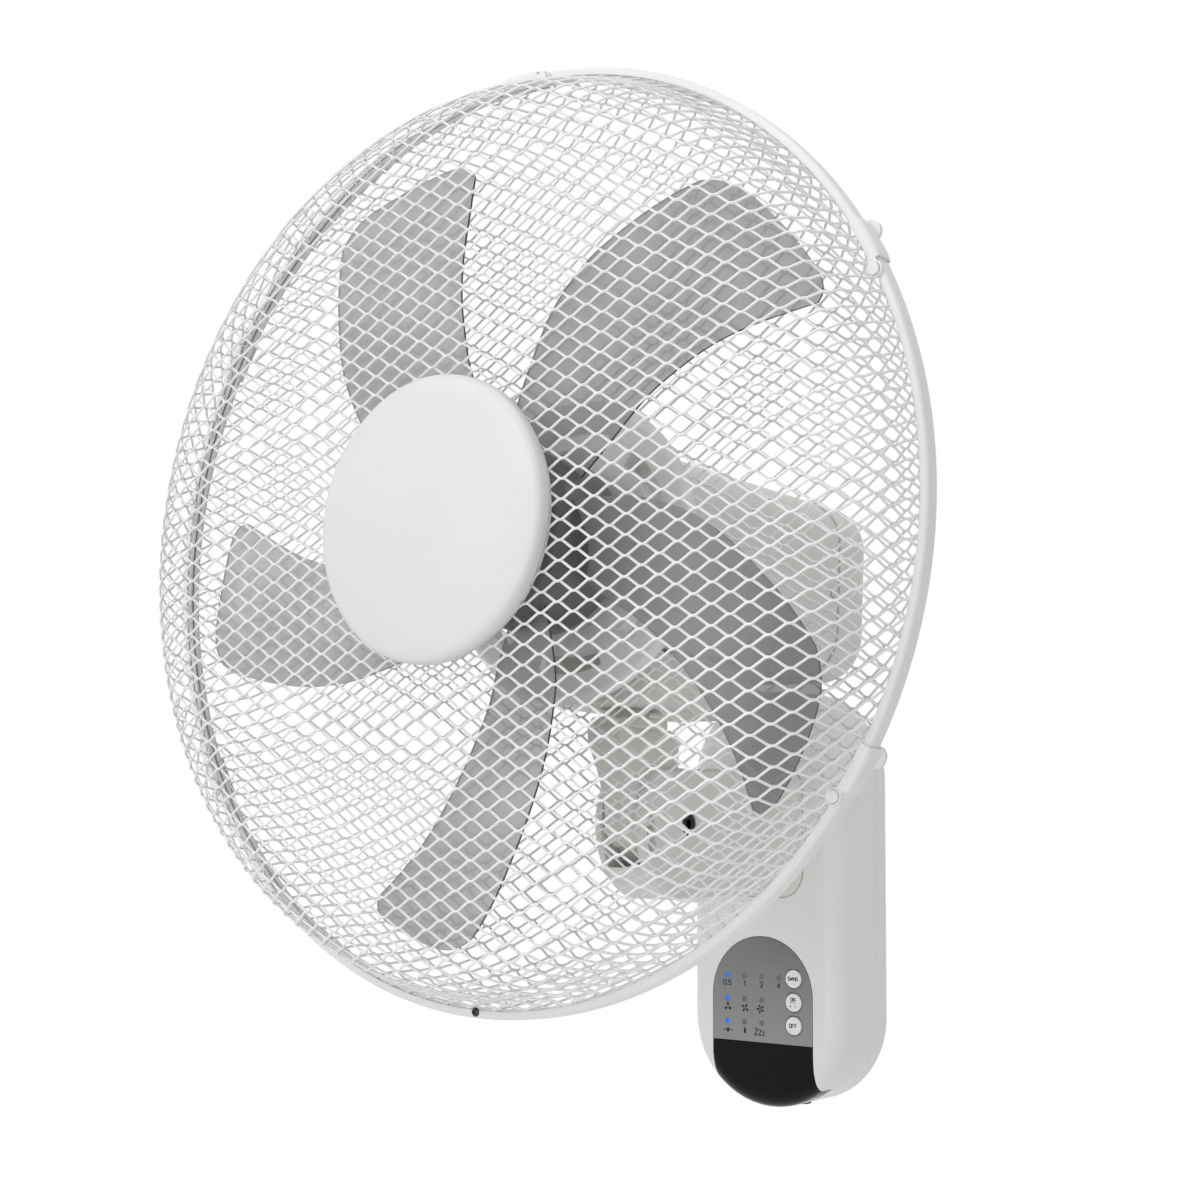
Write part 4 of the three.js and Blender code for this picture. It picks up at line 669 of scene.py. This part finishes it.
blades = Shape()
for k in range(BLADE_COUNT):
    blades.put(blade(math.radians(FIRST_BLADE + 360 / BLADE_COUNT * k)))
hub = [(10, -18), (33, -17), (39, -14), (42, -8), (42, 30), (39.8, 30), (39.8, -7), (37, -12), (32, -14.5),
       (10, -15), (10, 28), (4.3, 28), (4.3, -18)]
blades.put(lathe(rounded(hub, 1, 3), 96), pick=2)
rib = prism([(9.5, -0.8), (40.2, -0.8), (40.2, 0.8), (9.5, 0.8)], -13, 20)
for k in range(10):
    blades.put(moved(rib, Matrix.Rotation(-math.radians(36 * k + 7), 4, "Y")), pick=2)
piece("fan_blades", blades.part(), [SMOKE_WITH_PAINTED_SHADE, BLADE_EDGE_SHADE, HUB], "rotating_set", HEAD, angle=40)

spinner = Shape()
spinner_profile = [(0, -39), (8, -38.6), (13, -35), (17, -24), (18, -18.4), (4.4, -18.4),
                   (4.4, -34.2), (0, -34.2)]
spinner.put(lathe(rounded(spinner_profile, 1.2, 3), 64))
for k in range(8):
    grip = Matrix.Rotation(-math.radians(45 * k), 4, "Y") @ Matrix.Translation((16.2, 0, 0))
    spinner.put(moved(cylinder(1.5, -31, -18.6, 10), grip))
piece("blade_nut", spinner.part(), DARK, "rotating_set", HEAD, angle=40)

# ---- motor housing
HALF, BELOW, ABOVE, CORNER = 48, 45, 51, 24
FRONT, SEAM, REAR = 52, 215, 250
SNOUT_HOLE = 18.3

def motor_ring(inset, y):
    corner = max(CORNER - inset * 0.5, 8)
    outline = box_outline(-HALF + inset, HALF - inset, -BELOW + inset, ABOVE - inset, corner, 12)
    return [(x, y, z) for x, z in outline]

shell_rings = [motor_ring(i, y) for i, y in reversed(rounding(7, FRONT + 9, 9, -1))]
shell_rings += [motor_ring(i, y) for i, y in (
    (0, SEAM - 10), (0.4, SEAM - 9.6), (1.3, SEAM - 9.2), (1.4, SEAM - 0.2), (3.8, SEAM - 0.2),
    (3.8, SEAM - 40), (2.6, SEAM - 44), (2.6, FRONT + 11), (9, FRONT + 2.6))]
shell = piece("motor_front_shell", loft(shell_rings), SHELL_WITH_PAINTED_SHADE, "head", HEAD, angle=36)
carve(shell, [raw("snout_hole", cylinder(SNOUT_HOLE, 40, 70, 48), HEAD)])

rear_rings = [motor_ring(i, y) for i, y in ((2.4, SEAM + 0.5), (0.5, SEAM + 0.5), (0, SEAM + 1.2))]
rear_rings += [motor_ring(i, y) for i, y in rounding(16, REAR - 16, 16, 1, 10)]
rear = piece("motor_rear_shell", loft(rear_rings), SHELL_WITH_PAINTED_SHADE, "head", HEAD, angle=36)
VENT_HALF, VENT_RADIUS, VENT_PITCH = 20.5, 1.6, 10
vents = []
for k in (-2, -1, 0, 1, 2):
    z = 3 + VENT_PITCH * k
    outline = arc(VENT_HALF, z, VENT_RADIUS, -90, 90, 8) + arc(-VENT_HALF, z, VENT_RADIUS, 90, 270, 8)
    vents.append(raw("vent", prism(outline, REAR - 5, REAR + 4), HEAD))
carve(rear, vents)

# ---- head base, snout, guard plate and nut
def base_ring(inset, z):
    corner = max(16 - inset * 0.6, 6)
    return [(x, y, z) for x, y in box_outline(-34 + inset, 34 - inset, 61 + inset, 165 - inset, corner, 10)]

base_rings = [base_ring(i, z) for i, z in reversed(rounding(3.5, -66.5, 5, -1, 6))]
base_rings += [base_ring(i, z) for i, z in ((0, -46.4), (0.5, -45.6), (2.6, -45.4), (2.6, -64), (6, -69.3))]
base = piece("head_base", loft(base_rings), NECK, "head", HEAD, angle=36)
carve(base, [raw("bush_hole", cylinder(10.3, -90, -60, 40, "Z", (0, 97, 0)), HEAD)])

snout_profile = [(5.5, 38), (17, 38), (18, 39), (18, 53.6), (5.5, 53.6)]
piece("guard_snout", lathe(rounded(snout_profile, 0.7, 3), 64), SHELL_WITH_PAINTED_SHADE, "head", HEAD,
      angle=40)

plate_profile = [(SNOUT_HOLE, 43.6), (70, 43.6), (74, 46), (67, 46), (64.6, 46.4), (63, 48), (63, 51.7),
                 (SNOUT_HOLE, 51.7)]
plate = piece("guard_plate", lathe(rounded(plate_profile, 0.8, 3), 128), WHITE, "head", HEAD,
              angle=36)
plate_slots = []
for k in range(6):
    a0, a1 = 60 * k + 8, 60 * k + 52
    outline = arc(0, 0, 59, a0, a1, 16) + arc(0, 0, 50, a1, a0, 16)
    plate_slots.append(raw("slot", prism(outline, 40, 54), HEAD))
carve(plate, plate_slots)

NUT_SIDES = 120
turns = [2 * math.pi * k / NUT_SIDES for k in range(NUT_SIDES)]
grips = [27 - 1.6 * max(0, math.cos(6 * a)) ** 6 for a in turns]
nut_rings = [[((r - inset) * math.cos(a), y, (r - inset) * math.sin(a)) for r, a in zip(grips, turns)]
             for y, inset in ((39, 1), (39.4, 0.4), (40.2, 0), (42.6, 0), (43, 0.6))]
nut_rings += [[(x, y, z) for x, z in circle(SNOUT_HOLE, NUT_SIDES)] for y in (43, 39)]
piece("guard_nut", loft(nut_rings, joined=True), WHITE, "head", HEAD, angle=36)

retainer = rounded([(0, -49.7), (12, -49.7), (12, -48.5), (62, -48.5), (62, -46.9), (0, -46.9)], 0.5, 2)
piece("cap_retainer", lathe(retainer, 96), WHITE, "head", HEAD)

# ---- screws
def screw(name, radius, rise, length, shank, matrix, body, place, mat=STEEL):
    """A domed screw standing out along +Y of its own frame, with a cross recess."""
    profile = [(0, rise), (radius * 0.55, rise * 0.93), (radius * 0.85, rise * 0.6), (radius, 0.15),
               (radius, 0), (shank, 0), (shank, -length + 0.6), (shank * 0.6, -length), (0, -length)]
    obj = piece(name, moved(lathe(profile, 28), matrix), mat, body, place, angle=40)
    arms = []
    for w, h in ((0.42 * radius, 0.13 * radius), (0.13 * radius, 0.42 * radius)):
        block = prism([(-w, -h), (w, -h), (w, h), (-w, h)], rise * 0.35, rise + 1)
        arms.append(raw("cross", moved(block, matrix), place))
    carve(obj, arms)

x, z = polar(217.2, -91)
screw("ring_screw", 2.1, 1.1, 2.4, 1.3, Matrix.Translation((x, -4.95, z)) @ Matrix.Rotation(math.pi, 4, "X"),
      "head", HEAD, DARK)
HOUSING_SCREW_X, HOUSING_SCREW_Z = 30, 84
for k, side in enumerate((1, -1), 1):
    at_seam = Matrix.Translation((side * 46.9, 210, 0)) @ Matrix.Rotation(-side * math.pi / 2, 4, "Z")
    screw(f"seam_screw_{k}", 2.6, 1.4, 7, 1.4, at_seam, "head", HEAD)
    screw(f"housing_screw_{k}", 3.1, 2, 10, 1.4,
          Matrix.Translation((side * HOUSING_SCREW_X, -2.3, HOUSING_SCREW_Z)), "wall_base", WORLD)

# ---- wall housing
HALF_WIDTH, END_CENTRE = 48, 64
FACE, SEAM_Y = -50.5, -10
FACE_ROUND = 12
WALL, CUT_GAP = 2.4, 0.35
PANEL_HALF, ARCH_CENTRE, PANEL_FOOT = 31.5, -51.5, -76.5
ROWS = (-41.4, -53.9, -66.2)
COLUMNS = (-22, -11, 0, 11)
PANEL_BACK, PANEL_FACE = -49.5, -50.7
LAMP_RADIUS, LAMP_HOLE = 1.42, 1.46
BUTTON_X, BUTTON_HOLE = 20.3, 5.5
GLAND_Y, GLAND_Z = -10, -111

def rounded_rect(half, low, high, corner, y):
    return [(x, y, z) for x, z in box_outline(-half, half, low, high, corner, 12)]

def stadium(inset, y, steps=28):
    """The housing's outline: straight sides and half-round ends."""
    r = HALF_WIDTH - inset
    return [(x, y, z) for centre, start in ((END_CENTRE, 0), (-END_CENTRE, 180))
            for x, z in arc(0, centre, r, start, start + 180, steps)]

def housing_rings(inset, back):
    """The housing's form from `back` to its face, which has a round edge."""
    edge_round = FACE_ROUND - inset / 2
    return [stadium(inset, back)] + [
        stadium(inset + edge_round * (1 - c), FACE + inset + edge_round * (1 - s)) for c, s in quarter(14)]

def arch(margin):
    half, foot = PANEL_HALF + margin, PANEL_FOOT - margin
    return [(half, foot)] + arc(0, ARCH_CENTRE, half, 0, 180, 40) + [(-half, foot)]

def flare(margin):
    """The window's front outline, drawn in toward the housing's foot."""
    right = [(x + margin, z) for x, z in ((31.5, -76.8 + margin), (31.5, -86), (31.2, -93), (30.6, -99),
                                          (29.6, -104), (29.6, -116))]
    return right + [(-x, z) for x, z in reversed(right)]

def gland_way():
    return raw("gland_way", cylinder(6.3, -120, -106, 40, "Z", (0, GLAND_Y, 0)))

def plate_outline(half, low, high):
    return [(half, low), (half, high), (-half, high), (-half, low)]

lights = [(x, z) for z, count in zip(ROWS, (4, 3, 3)) for x in COLUMNS[:count]]

front_rings = [stadium(0.5, SEAM_Y - 0.3), stadium(0, SEAM_Y - 0.9)] + housing_rings(0, -14)[1:]
panel_way = [(x * 0.88, ARCH_CENTRE + (z - ARCH_CENTRE) * 0.86) for x, z in arch(0)]
front = piece("housing_front", loft(front_rings), WHITE, "wall_base", angle=36)
carve(front, [
    raw("hollow", loft(housing_rings(WALL, SEAM_Y + 1))),
    raw("panel_cut", prism(arch(CUT_GAP), -49.2, -62)),
    raw("panel_way", prism(panel_way, -60, -46)),
    raw("window_cut", prism(flare(CUT_GAP), -29.7, -70)),
    raw("arm_way", loft([rounded_rect(26.3, 1.2, 73.3, 14.3, y) for y in (-60, -40)])),
    gland_way(),
])

back_rings = [stadium(inset, y) for inset, y in ((1.2, 0), (0.3, -0.5), (0, -1.4), (0, -9.2), (0.6, -9.9))]
back = piece("housing_back", loft(back_rings), WHITE, "wall_base", angle=36)
SCREW_PLACES = [(x, 0, HOUSING_SCREW_Z) for x in (HOUSING_SCREW_X, -HOUSING_SCREW_X)]
carve(back, [
    raw("pocket", loft([stadium(WALL, -4.7), stadium(WALL, -12)])),
    raw("recess", prism(plate_outline(30.3, -75.3, 75.3), -2.3, 1)),
    raw("hook_low", prism(plate_outline(7.3, -64.3, -55.7), -6, 1)),
    raw("hook_high", prism(plate_outline(7.3, 61.7, 70.3), -6, 1)),
    gland_way(),
    *[raw("screw_way", cylinder(3.6, -2.6, 1, 32, "Y", at)) for at in SCREW_PLACES],
    *[raw("screw_hole", cylinder(1.9, -12, 1, 24, "Y", at)) for at in SCREW_PLACES],
])

window = piece("receiver_window", loft(housing_rings(0.05, -30)), GLASS, "wall_base", angle=36)
carve(window, [raw("window_hollow", loft(housing_rings(WALL, -25)))])
carve(window, [raw("window_form", prism(flare(0), -62, -30))], "INTERSECT")

panel = piece("control_panel", prism(arch(0), PANEL_BACK, PANEL_FACE), PANEL, "wall_base", angle=30)
soften(panel, 0.35, 3, 50)
carve(panel, [raw("button_way", cylinder(BUTTON_HOLE, -60, -40, 64, "Y", (BUTTON_X, 0, z))) for z in ROWS]
      + [raw("light_way", cylinder(LAMP_HOLE, -60, -40, 24, "Y", (x, 0, z))) for x, z in lights], angle=30)

guide = Shape()
for x, z in lights:
    guide.put(cylinder(LAMP_RADIUS, -50.6, -45.9, 24, "Y", (x, 0, z), bevel=0.2), pick=int(x == COLUMNS[0]))
guide.put(prism([(-26, -70.2), (13, -70.2), (13, -37.4), (-26, -37.4)], -47.5, -46))
piece("light_guide", guide.part(), [UNLIT, LIT], "wall_base", angle=30)

BUTTON_FACE = -51.78
button_profile = [(0, BUTTON_FACE), (4, BUTTON_FACE), (4.45, -51.7), (4.75, -51.45),
                  (4.85, -51.1), (4.85, -50.8), (4.85, -47.3), (6, -47.1), (6, -46.1),
                  (4.85, -45.9), (4.85, -44.2), (0, -44.2)]
for name, z in zip(("swing_button", "on_button", "off_button"), ROWS):
    piece(name, lathe(button_profile, 64), BUTTON, f"{name}_body",
          Matrix.Translation((BUTTON_X * MM, 0, z * MM)), angle=34)

gland = rounded([(2.6, -2.6), (4.4, -2.6), (4.8, -2.2), (4.9, -1), (6, -0.8), (6, 1.3), (4.6, 1.5), (4.6, 6),
                 (2.6, 6)], 0.3, 2)
verts, faces = lathe(gland, 48)
piece("cord_gland", ([(x, GLAND_Y - z, GLAND_Z + y) for x, y, z in verts], faces), RUBBER,
      "wall_base", angle=40)

# ---- support arm and tilt pin
ARM_END, ARM_HALF, ARM_ROUND = 39, 15.5, 3
ARM_LOW, ARM_HIGH, ARM_REAR = 5, 70, -46.5
FORK, FOOT_WAY = 10.5, 34.54
STOP_RADIUS, STOP_HALF, STOP_TURN = 33, 3.1, (176.2, 198.2)
PIN_RADIUS, PIN_HOLE, HEAD_RADIUS, HEAD_HOLE = 4, 4.3, 5.9, 6.2
PIN_AT = (0, TILT_Y, TILT_Z)

def arm_side(inset, steps=48):
    """The arm's side outline in (y, z) about the tilt axis: flat top and bottom and a round end."""
    r, low, high = ARM_END - inset, ARM_LOW - TILT_Z + inset, ARM_HIGH - TILT_Z - inset
    a0, a1 = math.pi - math.asin(low / r), math.pi - math.asin(high / r)
    rear = ARM_REAR - TILT_Y
    turns = [a0 + (a1 - a0) * k / steps for k in range(steps + 1)]
    return [(rear, low)] + [(r * math.cos(a), r * math.sin(a)) for a in turns] + [(rear, high)]

def mirrored(half_rings):
    """Rings from one side face to the middle, followed by their mirror images."""
    return half_rings + [[(-x, y, z) for x, y, z in ring] for ring in reversed(half_rings)]

arm_half = [[(-ARM_HALF + ARM_ROUND * (1 - s), TILT_Y + y, TILT_Z + z)
             for y, z in arm_side(ARM_ROUND * (1 - c))] for c, s in quarter(7)]
arm = piece("support_arm", loft(mirrored(arm_half[::-1])), SHELL_WITH_PAINTED_SHADE, "wall_base", angle=34)
root_rings = [rounded_rect(26, 1.5, 73, 14, ARM_REAR)]
root_rings += [rounded_rect(26 - 11.1 * s, 1.5 + 4.1 * s, 73 - 3.6 * s, 14 - 10 * s, -51.5 - 26 * (1 - c))
               for c, s in quarter(14)]
carve(arm, [raw("root", loft(root_rings))], "UNION", angle=34)

def band(r, half, a0, a1, steps=18, round_steps=9):
    """A slot outline along an arc: radius r, half width, from angle a0 to a1 in degrees."""
    out = [polar(r + half, a) for a in np.linspace(a0, a1, steps)]
    for centre, turn in ((a1, 0), (a0, 180)):
        if turn:
            out += [polar(r - half, a) for a in np.linspace(a1, a0, steps)]
        cx, cz = polar(r, centre)
        ends = [polar(half, centre + turn + b) for b in np.linspace(15, 165, round_steps)]
        out += [(cx + u, cz + v) for u, v in ends]
    return out

def block(y0, y1, z0, z1):
    """A straight block as wide as the fork's inner gap."""
    corners = ((-FORK, y0), (FORK, y0), (FORK, y1), (-FORK, y1))
    return loft([[(x, y, z) for x, y in corners] for z in (z0, z1)])

slot_side = band(STOP_RADIUS, STOP_HALF, *STOP_TURN)
carve(arm, [
    raw("foot_way", cylinder(FOOT_WAY, -FORK, FORK, 96, "X", PIN_AT)),
    raw("neck_way", block(TILT_Y - 40, TILT_Y, TILT_Z - 21, TILT_Z + 40)),
    raw("arm_hollow", block(-110.5, -20, 10, 65)),
    raw("pin_way", cylinder(PIN_HOLE, -40, 40, 48, "X", PIN_AT)),
    raw("pin_head_right", cylinder(HEAD_HOLE, 12.1, 40, 64, "X", PIN_AT)),
    raw("pin_head_left", cylinder(HEAD_HOLE, -40, -12.1, 64, "X", PIN_AT)),
    raw("stop_slot", loft([[(x, TILT_Y + y, TILT_Z + z) for y, z in slot_side] for x in (8.5, 38)])),
], angle=34)

pin = Shape()
pin.put(cylinder(PIN_RADIUS, -12.9, 12.9, 40, "X", PIN_AT))
for ends in ((12.2, 14.9), (-14.9, -12.2)):
    pin.put(cylinder(HEAD_RADIUS, *ends, 64, "X", PIN_AT, bevel=0.3))
pin_obj = piece("tilt_pin", pin.part(), STEEL_PAINTED_SHADE, "wall_base", angle=40)
carve(pin_obj, [raw("hex", cylinder(2.6, *ends, 6, "X", PIN_AT)) for ends in ((13.2, 16), (-16, -13.2))])

# ---- neck
NECK_HALF, NECK_ROUND = 10.2, 1.6
NECK_SIDE = [(-3, -10), (-3, 46), (-55, 46), (-53, 36), (-45, 24), (-38.2, 8), (-37.8, -5), (-30, -14)]
SWING_AXIS = (0, -33, 0)

def drawn_in(outline, inset):
    """A closed outline drawn in along its normals."""
    n = len(outline)
    area = sum(outline[i - 1][0] * outline[i][1] - outline[i][0] * outline[i - 1][1] for i in range(n))
    sign = 1 if area > 0 else -1
    out = []
    for i, (x, z) in enumerate(outline):
        (ax, az), (bx, bz) = outline[i - 1], outline[(i + 1) % n]
        tx, tz = bx - ax, bz - az
        size = math.hypot(tx, tz) or 1
        out.append((x - sign * tz / size * inset, z + sign * tx / size * inset))
    return out

neck_outline = rounded(NECK_SIDE, 6, 6, turned=False)
neck_half = [[(-NECK_HALF + NECK_ROUND * (1 - c), y, z)
              for y, z in drawn_in(neck_outline, NECK_ROUND * (1 - s))] for c, s in quarter(5)]
neck = piece("neck", loft(mirrored(neck_half)), NECK, "neck_body", TILTED, angle=36)
carve(neck, [raw("foot", cylinder(28, -NECK_HALF, NECK_HALF, 96, "X", bevel=0.8), TILTED),
             raw("plate", cylinder(19, 45, 50, 96, "Z", SWING_AXIS, bevel=0.8), TILTED),
             raw("stub", cylinder(2.6, 9.5, 14.5, 28, "X", SWING_AXIS, bevel=0.4), TILTED)], "UNION")

# ---- printed labels
INK_THICK, INK_SUNK = 0.06, 0.02

def ink(name, shapes, body, y):
    shape = Shape()
    for outline in shapes:
        shape.put(prism(outline, y - INK_THICK, y + INK_SUNK))
    piece(name, shape.part(), INK, body, angle=30, replaces=False)

def stroke(points, width):
    """A line of even width through points, as quads that overlap at the corners."""
    out = []
    for (x0, z0), (x1, z1) in zip(points, points[1:]):
        dx, dz = x1 - x0, z1 - z0
        size = math.hypot(dx, dz)
        ux, uz = dx / size * width / 2, dz / size * width / 2
        out.append([(x0 - uz - ux * 0.4, z0 + ux - uz * 0.4), (x1 - uz + ux * 0.4, z1 + ux + uz * 0.4),
                    (x1 + uz + ux * 0.4, z1 - ux + uz * 0.4), (x0 + uz - ux * 0.4, z0 - ux - uz * 0.4)])
    return out

ROUND_LETTER = [(0, .15), (0, .85), (.15, 1), (.45, 1), (.6, .85), (.6, .15), (.45, 0), (.15, 0), (0, .15)]
GLYPHS = {
    "0": [ROUND_LETTER],
    "1": [[(.1, .8), (.3, 1), (.3, 0)]],
    "2": [[(0, .8), (.15, 1), (.45, 1), (.6, .85), (.6, .62), (0, 0), (.6, 0)]],
    "4": [[(.45, 0), (.45, 1), (0, .3), (.6, .3)]],
    "5": [[(.58, 1), (.06, 1), (.02, .55), (.4, .58), (.6, .4), (.6, .18), (.42, 0), (.12, 0), (0, .12)]],
    ".": [[(.0, 0), (.0, .12)]],
    "S": [[(.6, .85), (.45, 1), (.15, 1), (0, .85), (0, .65), (.6, .38), (.6, .15), (.45, 0),
           (.15, 0), (0, .15)]],
    "W": [[(0, 1), (.2, 0), (.4, .8), (.6, 0), (.8, 1)]],
    "I": [[(.0, 0), (.0, 1)]],
    "N": [[(0, 0), (0, 1), (.6, 0), (.6, 1)]],
    "G": [[(.6, .85), (.45, 1), (.15, 1), (0, .85), (0, .15), (.15, 0), (.45, 0), (.6, .15),
           (.6, .48), (.35, .48)]],
    "O": [ROUND_LETTER],
    "F": [[(0, 0), (0, 1), (.55, 1)], [(0, .54), (.45, .54)]],
    "Z": [[(0, 1), (.6, 1), (0, 0), (.6, 0)]],
}
WIDTHS = {"1": .4, ".": .1, "I": .1, "W": .8}
USUAL_WIDTH = .6

def text(words, x, z, height, gap=0.28, weight=0.2):
    """Letters as strokes, centred on x, with their foot at z; gap and weight are parts of the height."""
    total = sum(WIDTHS.get(c, USUAL_WIDTH) for c in words) + gap * (len(words) - 1)
    at = x - total * height / 2
    out = []
    for c in words:
        for line in GLYPHS[c]:
            out += stroke([(at + px * height, z + pz * height) for px, pz in line], weight * height)
        at += (WIDTHS.get(c, USUAL_WIDTH) + gap) * height
    return out

def petal(x, z, angle, near, far, half):
    """A rounded lobe from radius near to far, swept a little to one side."""
    out = []
    for k in range(16):
        t = 2 * math.pi * k / 16
        along = (near + far) / 2 + (far - near) / 2 * math.cos(t)
        wide = half * math.sin(t) * (0.62 + 0.38 * math.cos(t)) + 0.18 * along
        out.append((x + along * math.cos(angle) - wide * math.sin(angle),
                    z + along * math.sin(angle) + wide * math.cos(angle)))
    return out

PETAL_LENGTH, PETAL_HALF = 2.4, {3: 1.15, 4: 0.95, 5: 0.8}

def fan_icon(x, z, count, turn):
    turns = [math.radians(turn + 360 * k / count) for k in range(count)]
    return [petal(x, z, a, 0.1 * PETAL_LENGTH, PETAL_LENGTH, PETAL_HALF[count]) for a in turns]

def airflow_icon(x, z):
    """A dot with a dash and an arrow to either side."""
    out = [arc(x, z, 1.15, 0, 350, 16)]
    for k in (1, -1):
        near, far = x + k * 1.6, x + k * 2.4
        out.append([(near, z - 0.16), (near, z + 0.16), (far, z + 0.16), (far, z - 0.16)])
    return out + [[(x + k * 3.2, z), (x + k * 2.3, z + 0.6), (x + k * 2.3, z - 0.6)] for k in (1, -1)]

def drop_icon(x, z):
    turns = [2 * math.pi * k / 20 for k in range(20)]
    return [[(x + math.sin(t) * math.sin(t / 2), z + 1.9 * math.cos(t)) for t in turns]]

HOURS_FOOT, FAN_CENTRE, MODE_CENTRE = -46.9, -58.7, -71.1
marks = []
for x, words in zip((-22.2, -11.1, -0.2, 10.7), ("0.5", "1", "2", "4")):
    marks += text(words, x, HOURS_FOOT, 2.6, 0.26)
for x, count, turn in zip((-21.9, -10.8, -0.9), (3, 4, 5), (80, 45, 100)):
    marks += fan_icon(x, FAN_CENTRE, count, turn)
marks += airflow_icon(-21.9, MODE_CENTRE) + drop_icon(-10.9, MODE_CENTRE + 0.6)
for x, height, weight in ((-3.6, 3.2, 0.18), (-1.1, 2.6, 0.2), (1, 1.9, 0.24)):
    marks += text("Z", x, MODE_CENTRE - 1.5, height, weight=weight)
ink("panel_labels", marks, "wall_base", PANEL_FACE)

swing_z, on_z, off_z = ROWS
ink("swing_label", text("SWING", BUTTON_X, swing_z - 0.8, 1.75, 0.2), "swing_button_body", BUTTON_FACE)
on_marks = text("ON", BUTTON_X, on_z + 0.7, 1.9, 0.24)
for points, width in (([(-2.1, -0.1), (2.1, -0.1)], 0.22), ([(-2.1, -1.9), (-1.1, -1.9)], 0.3),
                      ([(-1.6, -2.4), (-1.6, -1.4)], 0.3), ([(1.1, -1.9), (2.1, -1.9)], 0.3)):
    on_marks += stroke([(BUTTON_X + x, on_z + z) for x, z in points], width)
ink("on_label", on_marks, "on_button_body", BUTTON_FACE)
ink("off_label", text("OFF", BUTTON_X, off_z - 0.95, 2, 0.24), "off_button_body", BUTTON_FACE)

# ---- studio
FLOOR_Z, FLOOR_HALF = -0.72, 6
AMBIENT = 0.5

def seen_ray(tree):
    """1 for the rays that show the background: camera, transmission and glossy rays."""
    path = tree.nodes.new("ShaderNodeLightPath")
    value = path.outputs["Is Camera Ray"]
    for name in ("Is Transmission Ray", "Is Glossy Ray"):
        most = tree.nodes.new("ShaderNodeMath")
        most.operation = "MAXIMUM"
        tree.links.new(value, most.inputs[0])
        tree.links.new(path.outputs[name], most.inputs[1])
        value = most.outputs[0]
    return value

def mixed(tree, share, first, second, target):
    """Joins a mix of two shaders to the output's surface."""
    mix = tree.nodes.new("ShaderNodeMixShader")
    for socket, value in zip(mix.inputs, (share, first, second)):
        tree.links.new(value, socket)
    tree.links.new(mix.outputs[0], target.inputs["Surface"])

def studio_white():
    """A pale floor that takes shadows near the part and turns to plain white further out."""
    m = Nodes("studio_white")
    m.surface(Base_Color=(0.9, 0.9, 0.9, 1), Roughness=0.9, Specular_IOR_Level=0)
    length = m.add("ShaderNodeVectorMath", operation="LENGTH")
    m.join(m.coords, length.inputs[0])
    share = m.add("ShaderNodeMath", operation="MULTIPLY")
    m.join(m.spread(length.outputs["Value"], 0.72, 1, 0.9, 2.6), share.inputs[0])
    m.join(seen_ray(m.tree), share.inputs[1])
    glow = m.add("ShaderNodeEmission", Color=(1, 1, 1, 1), Strength=1)
    mixed(m.tree, share.outputs[0], m.shader.outputs[0], glow.outputs[0], m.tree.nodes["Material Output"])
    return m.material

def floor():
    mesh = bpy.data.meshes.new("studio_floor")
    corners = [(x * FLOOR_HALF, y * FLOOR_HALF, 0) for x, y in ((-1, -1), (1, -1), (1, 1), (-1, 1))]
    mesh.from_pydata(corners, [], [(0, 1, 2, 3)])
    mesh.materials.append(studio_white())
    obj = new_object("studio_floor", mesh)
    obj.location = (0, 0, FLOOR_Z)
    return obj

def lamp(name, location, target, power, size=1.6):
    data = bpy.data.lights.new(name, "AREA")
    data.shape, data.size, data.energy = "SQUARE", size, power
    obj = new_object(name, data)
    obj.location = location
    obj.rotation_euler = (Vector(target) - Vector(location)).to_track_quat("-Z", "Y").to_euler()
    return obj

def surroundings():
    """A plain white background with a dimmer light of its own."""
    world = bpy.data.worlds.new("studio")
    bpy.context.scene.world = world
    world.use_nodes = True
    tree = world.node_tree
    tree.nodes.clear()
    output = tree.nodes.new("ShaderNodeOutputWorld")
    shades = []
    for strength in (AMBIENT, 1):
        background = tree.nodes.new("ShaderNodeBackground")
        background.inputs["Color"].default_value = (1, 1, 1, 1)
        background.inputs["Strength"].default_value = strength
        shades.append(background.outputs[0])
    mixed(tree, seen_ray(tree), *shades, output)

floor_piece = floor()
lamps = [
    lamp("key_lamp", (-0.9, -2, 1.5), (0, -0.2, 0.1), 18),
    lamp("fill_lamp", (0.75, -2.5, -0.1), (0, -0.15, 0.05), 12),
    lamp("top_lamp", (0.2, -0.4, 2.4), (0, -0.15, 0.1), 12),
]
surroundings()

bpy.context.scene.view_settings.view_transform = "Standard"
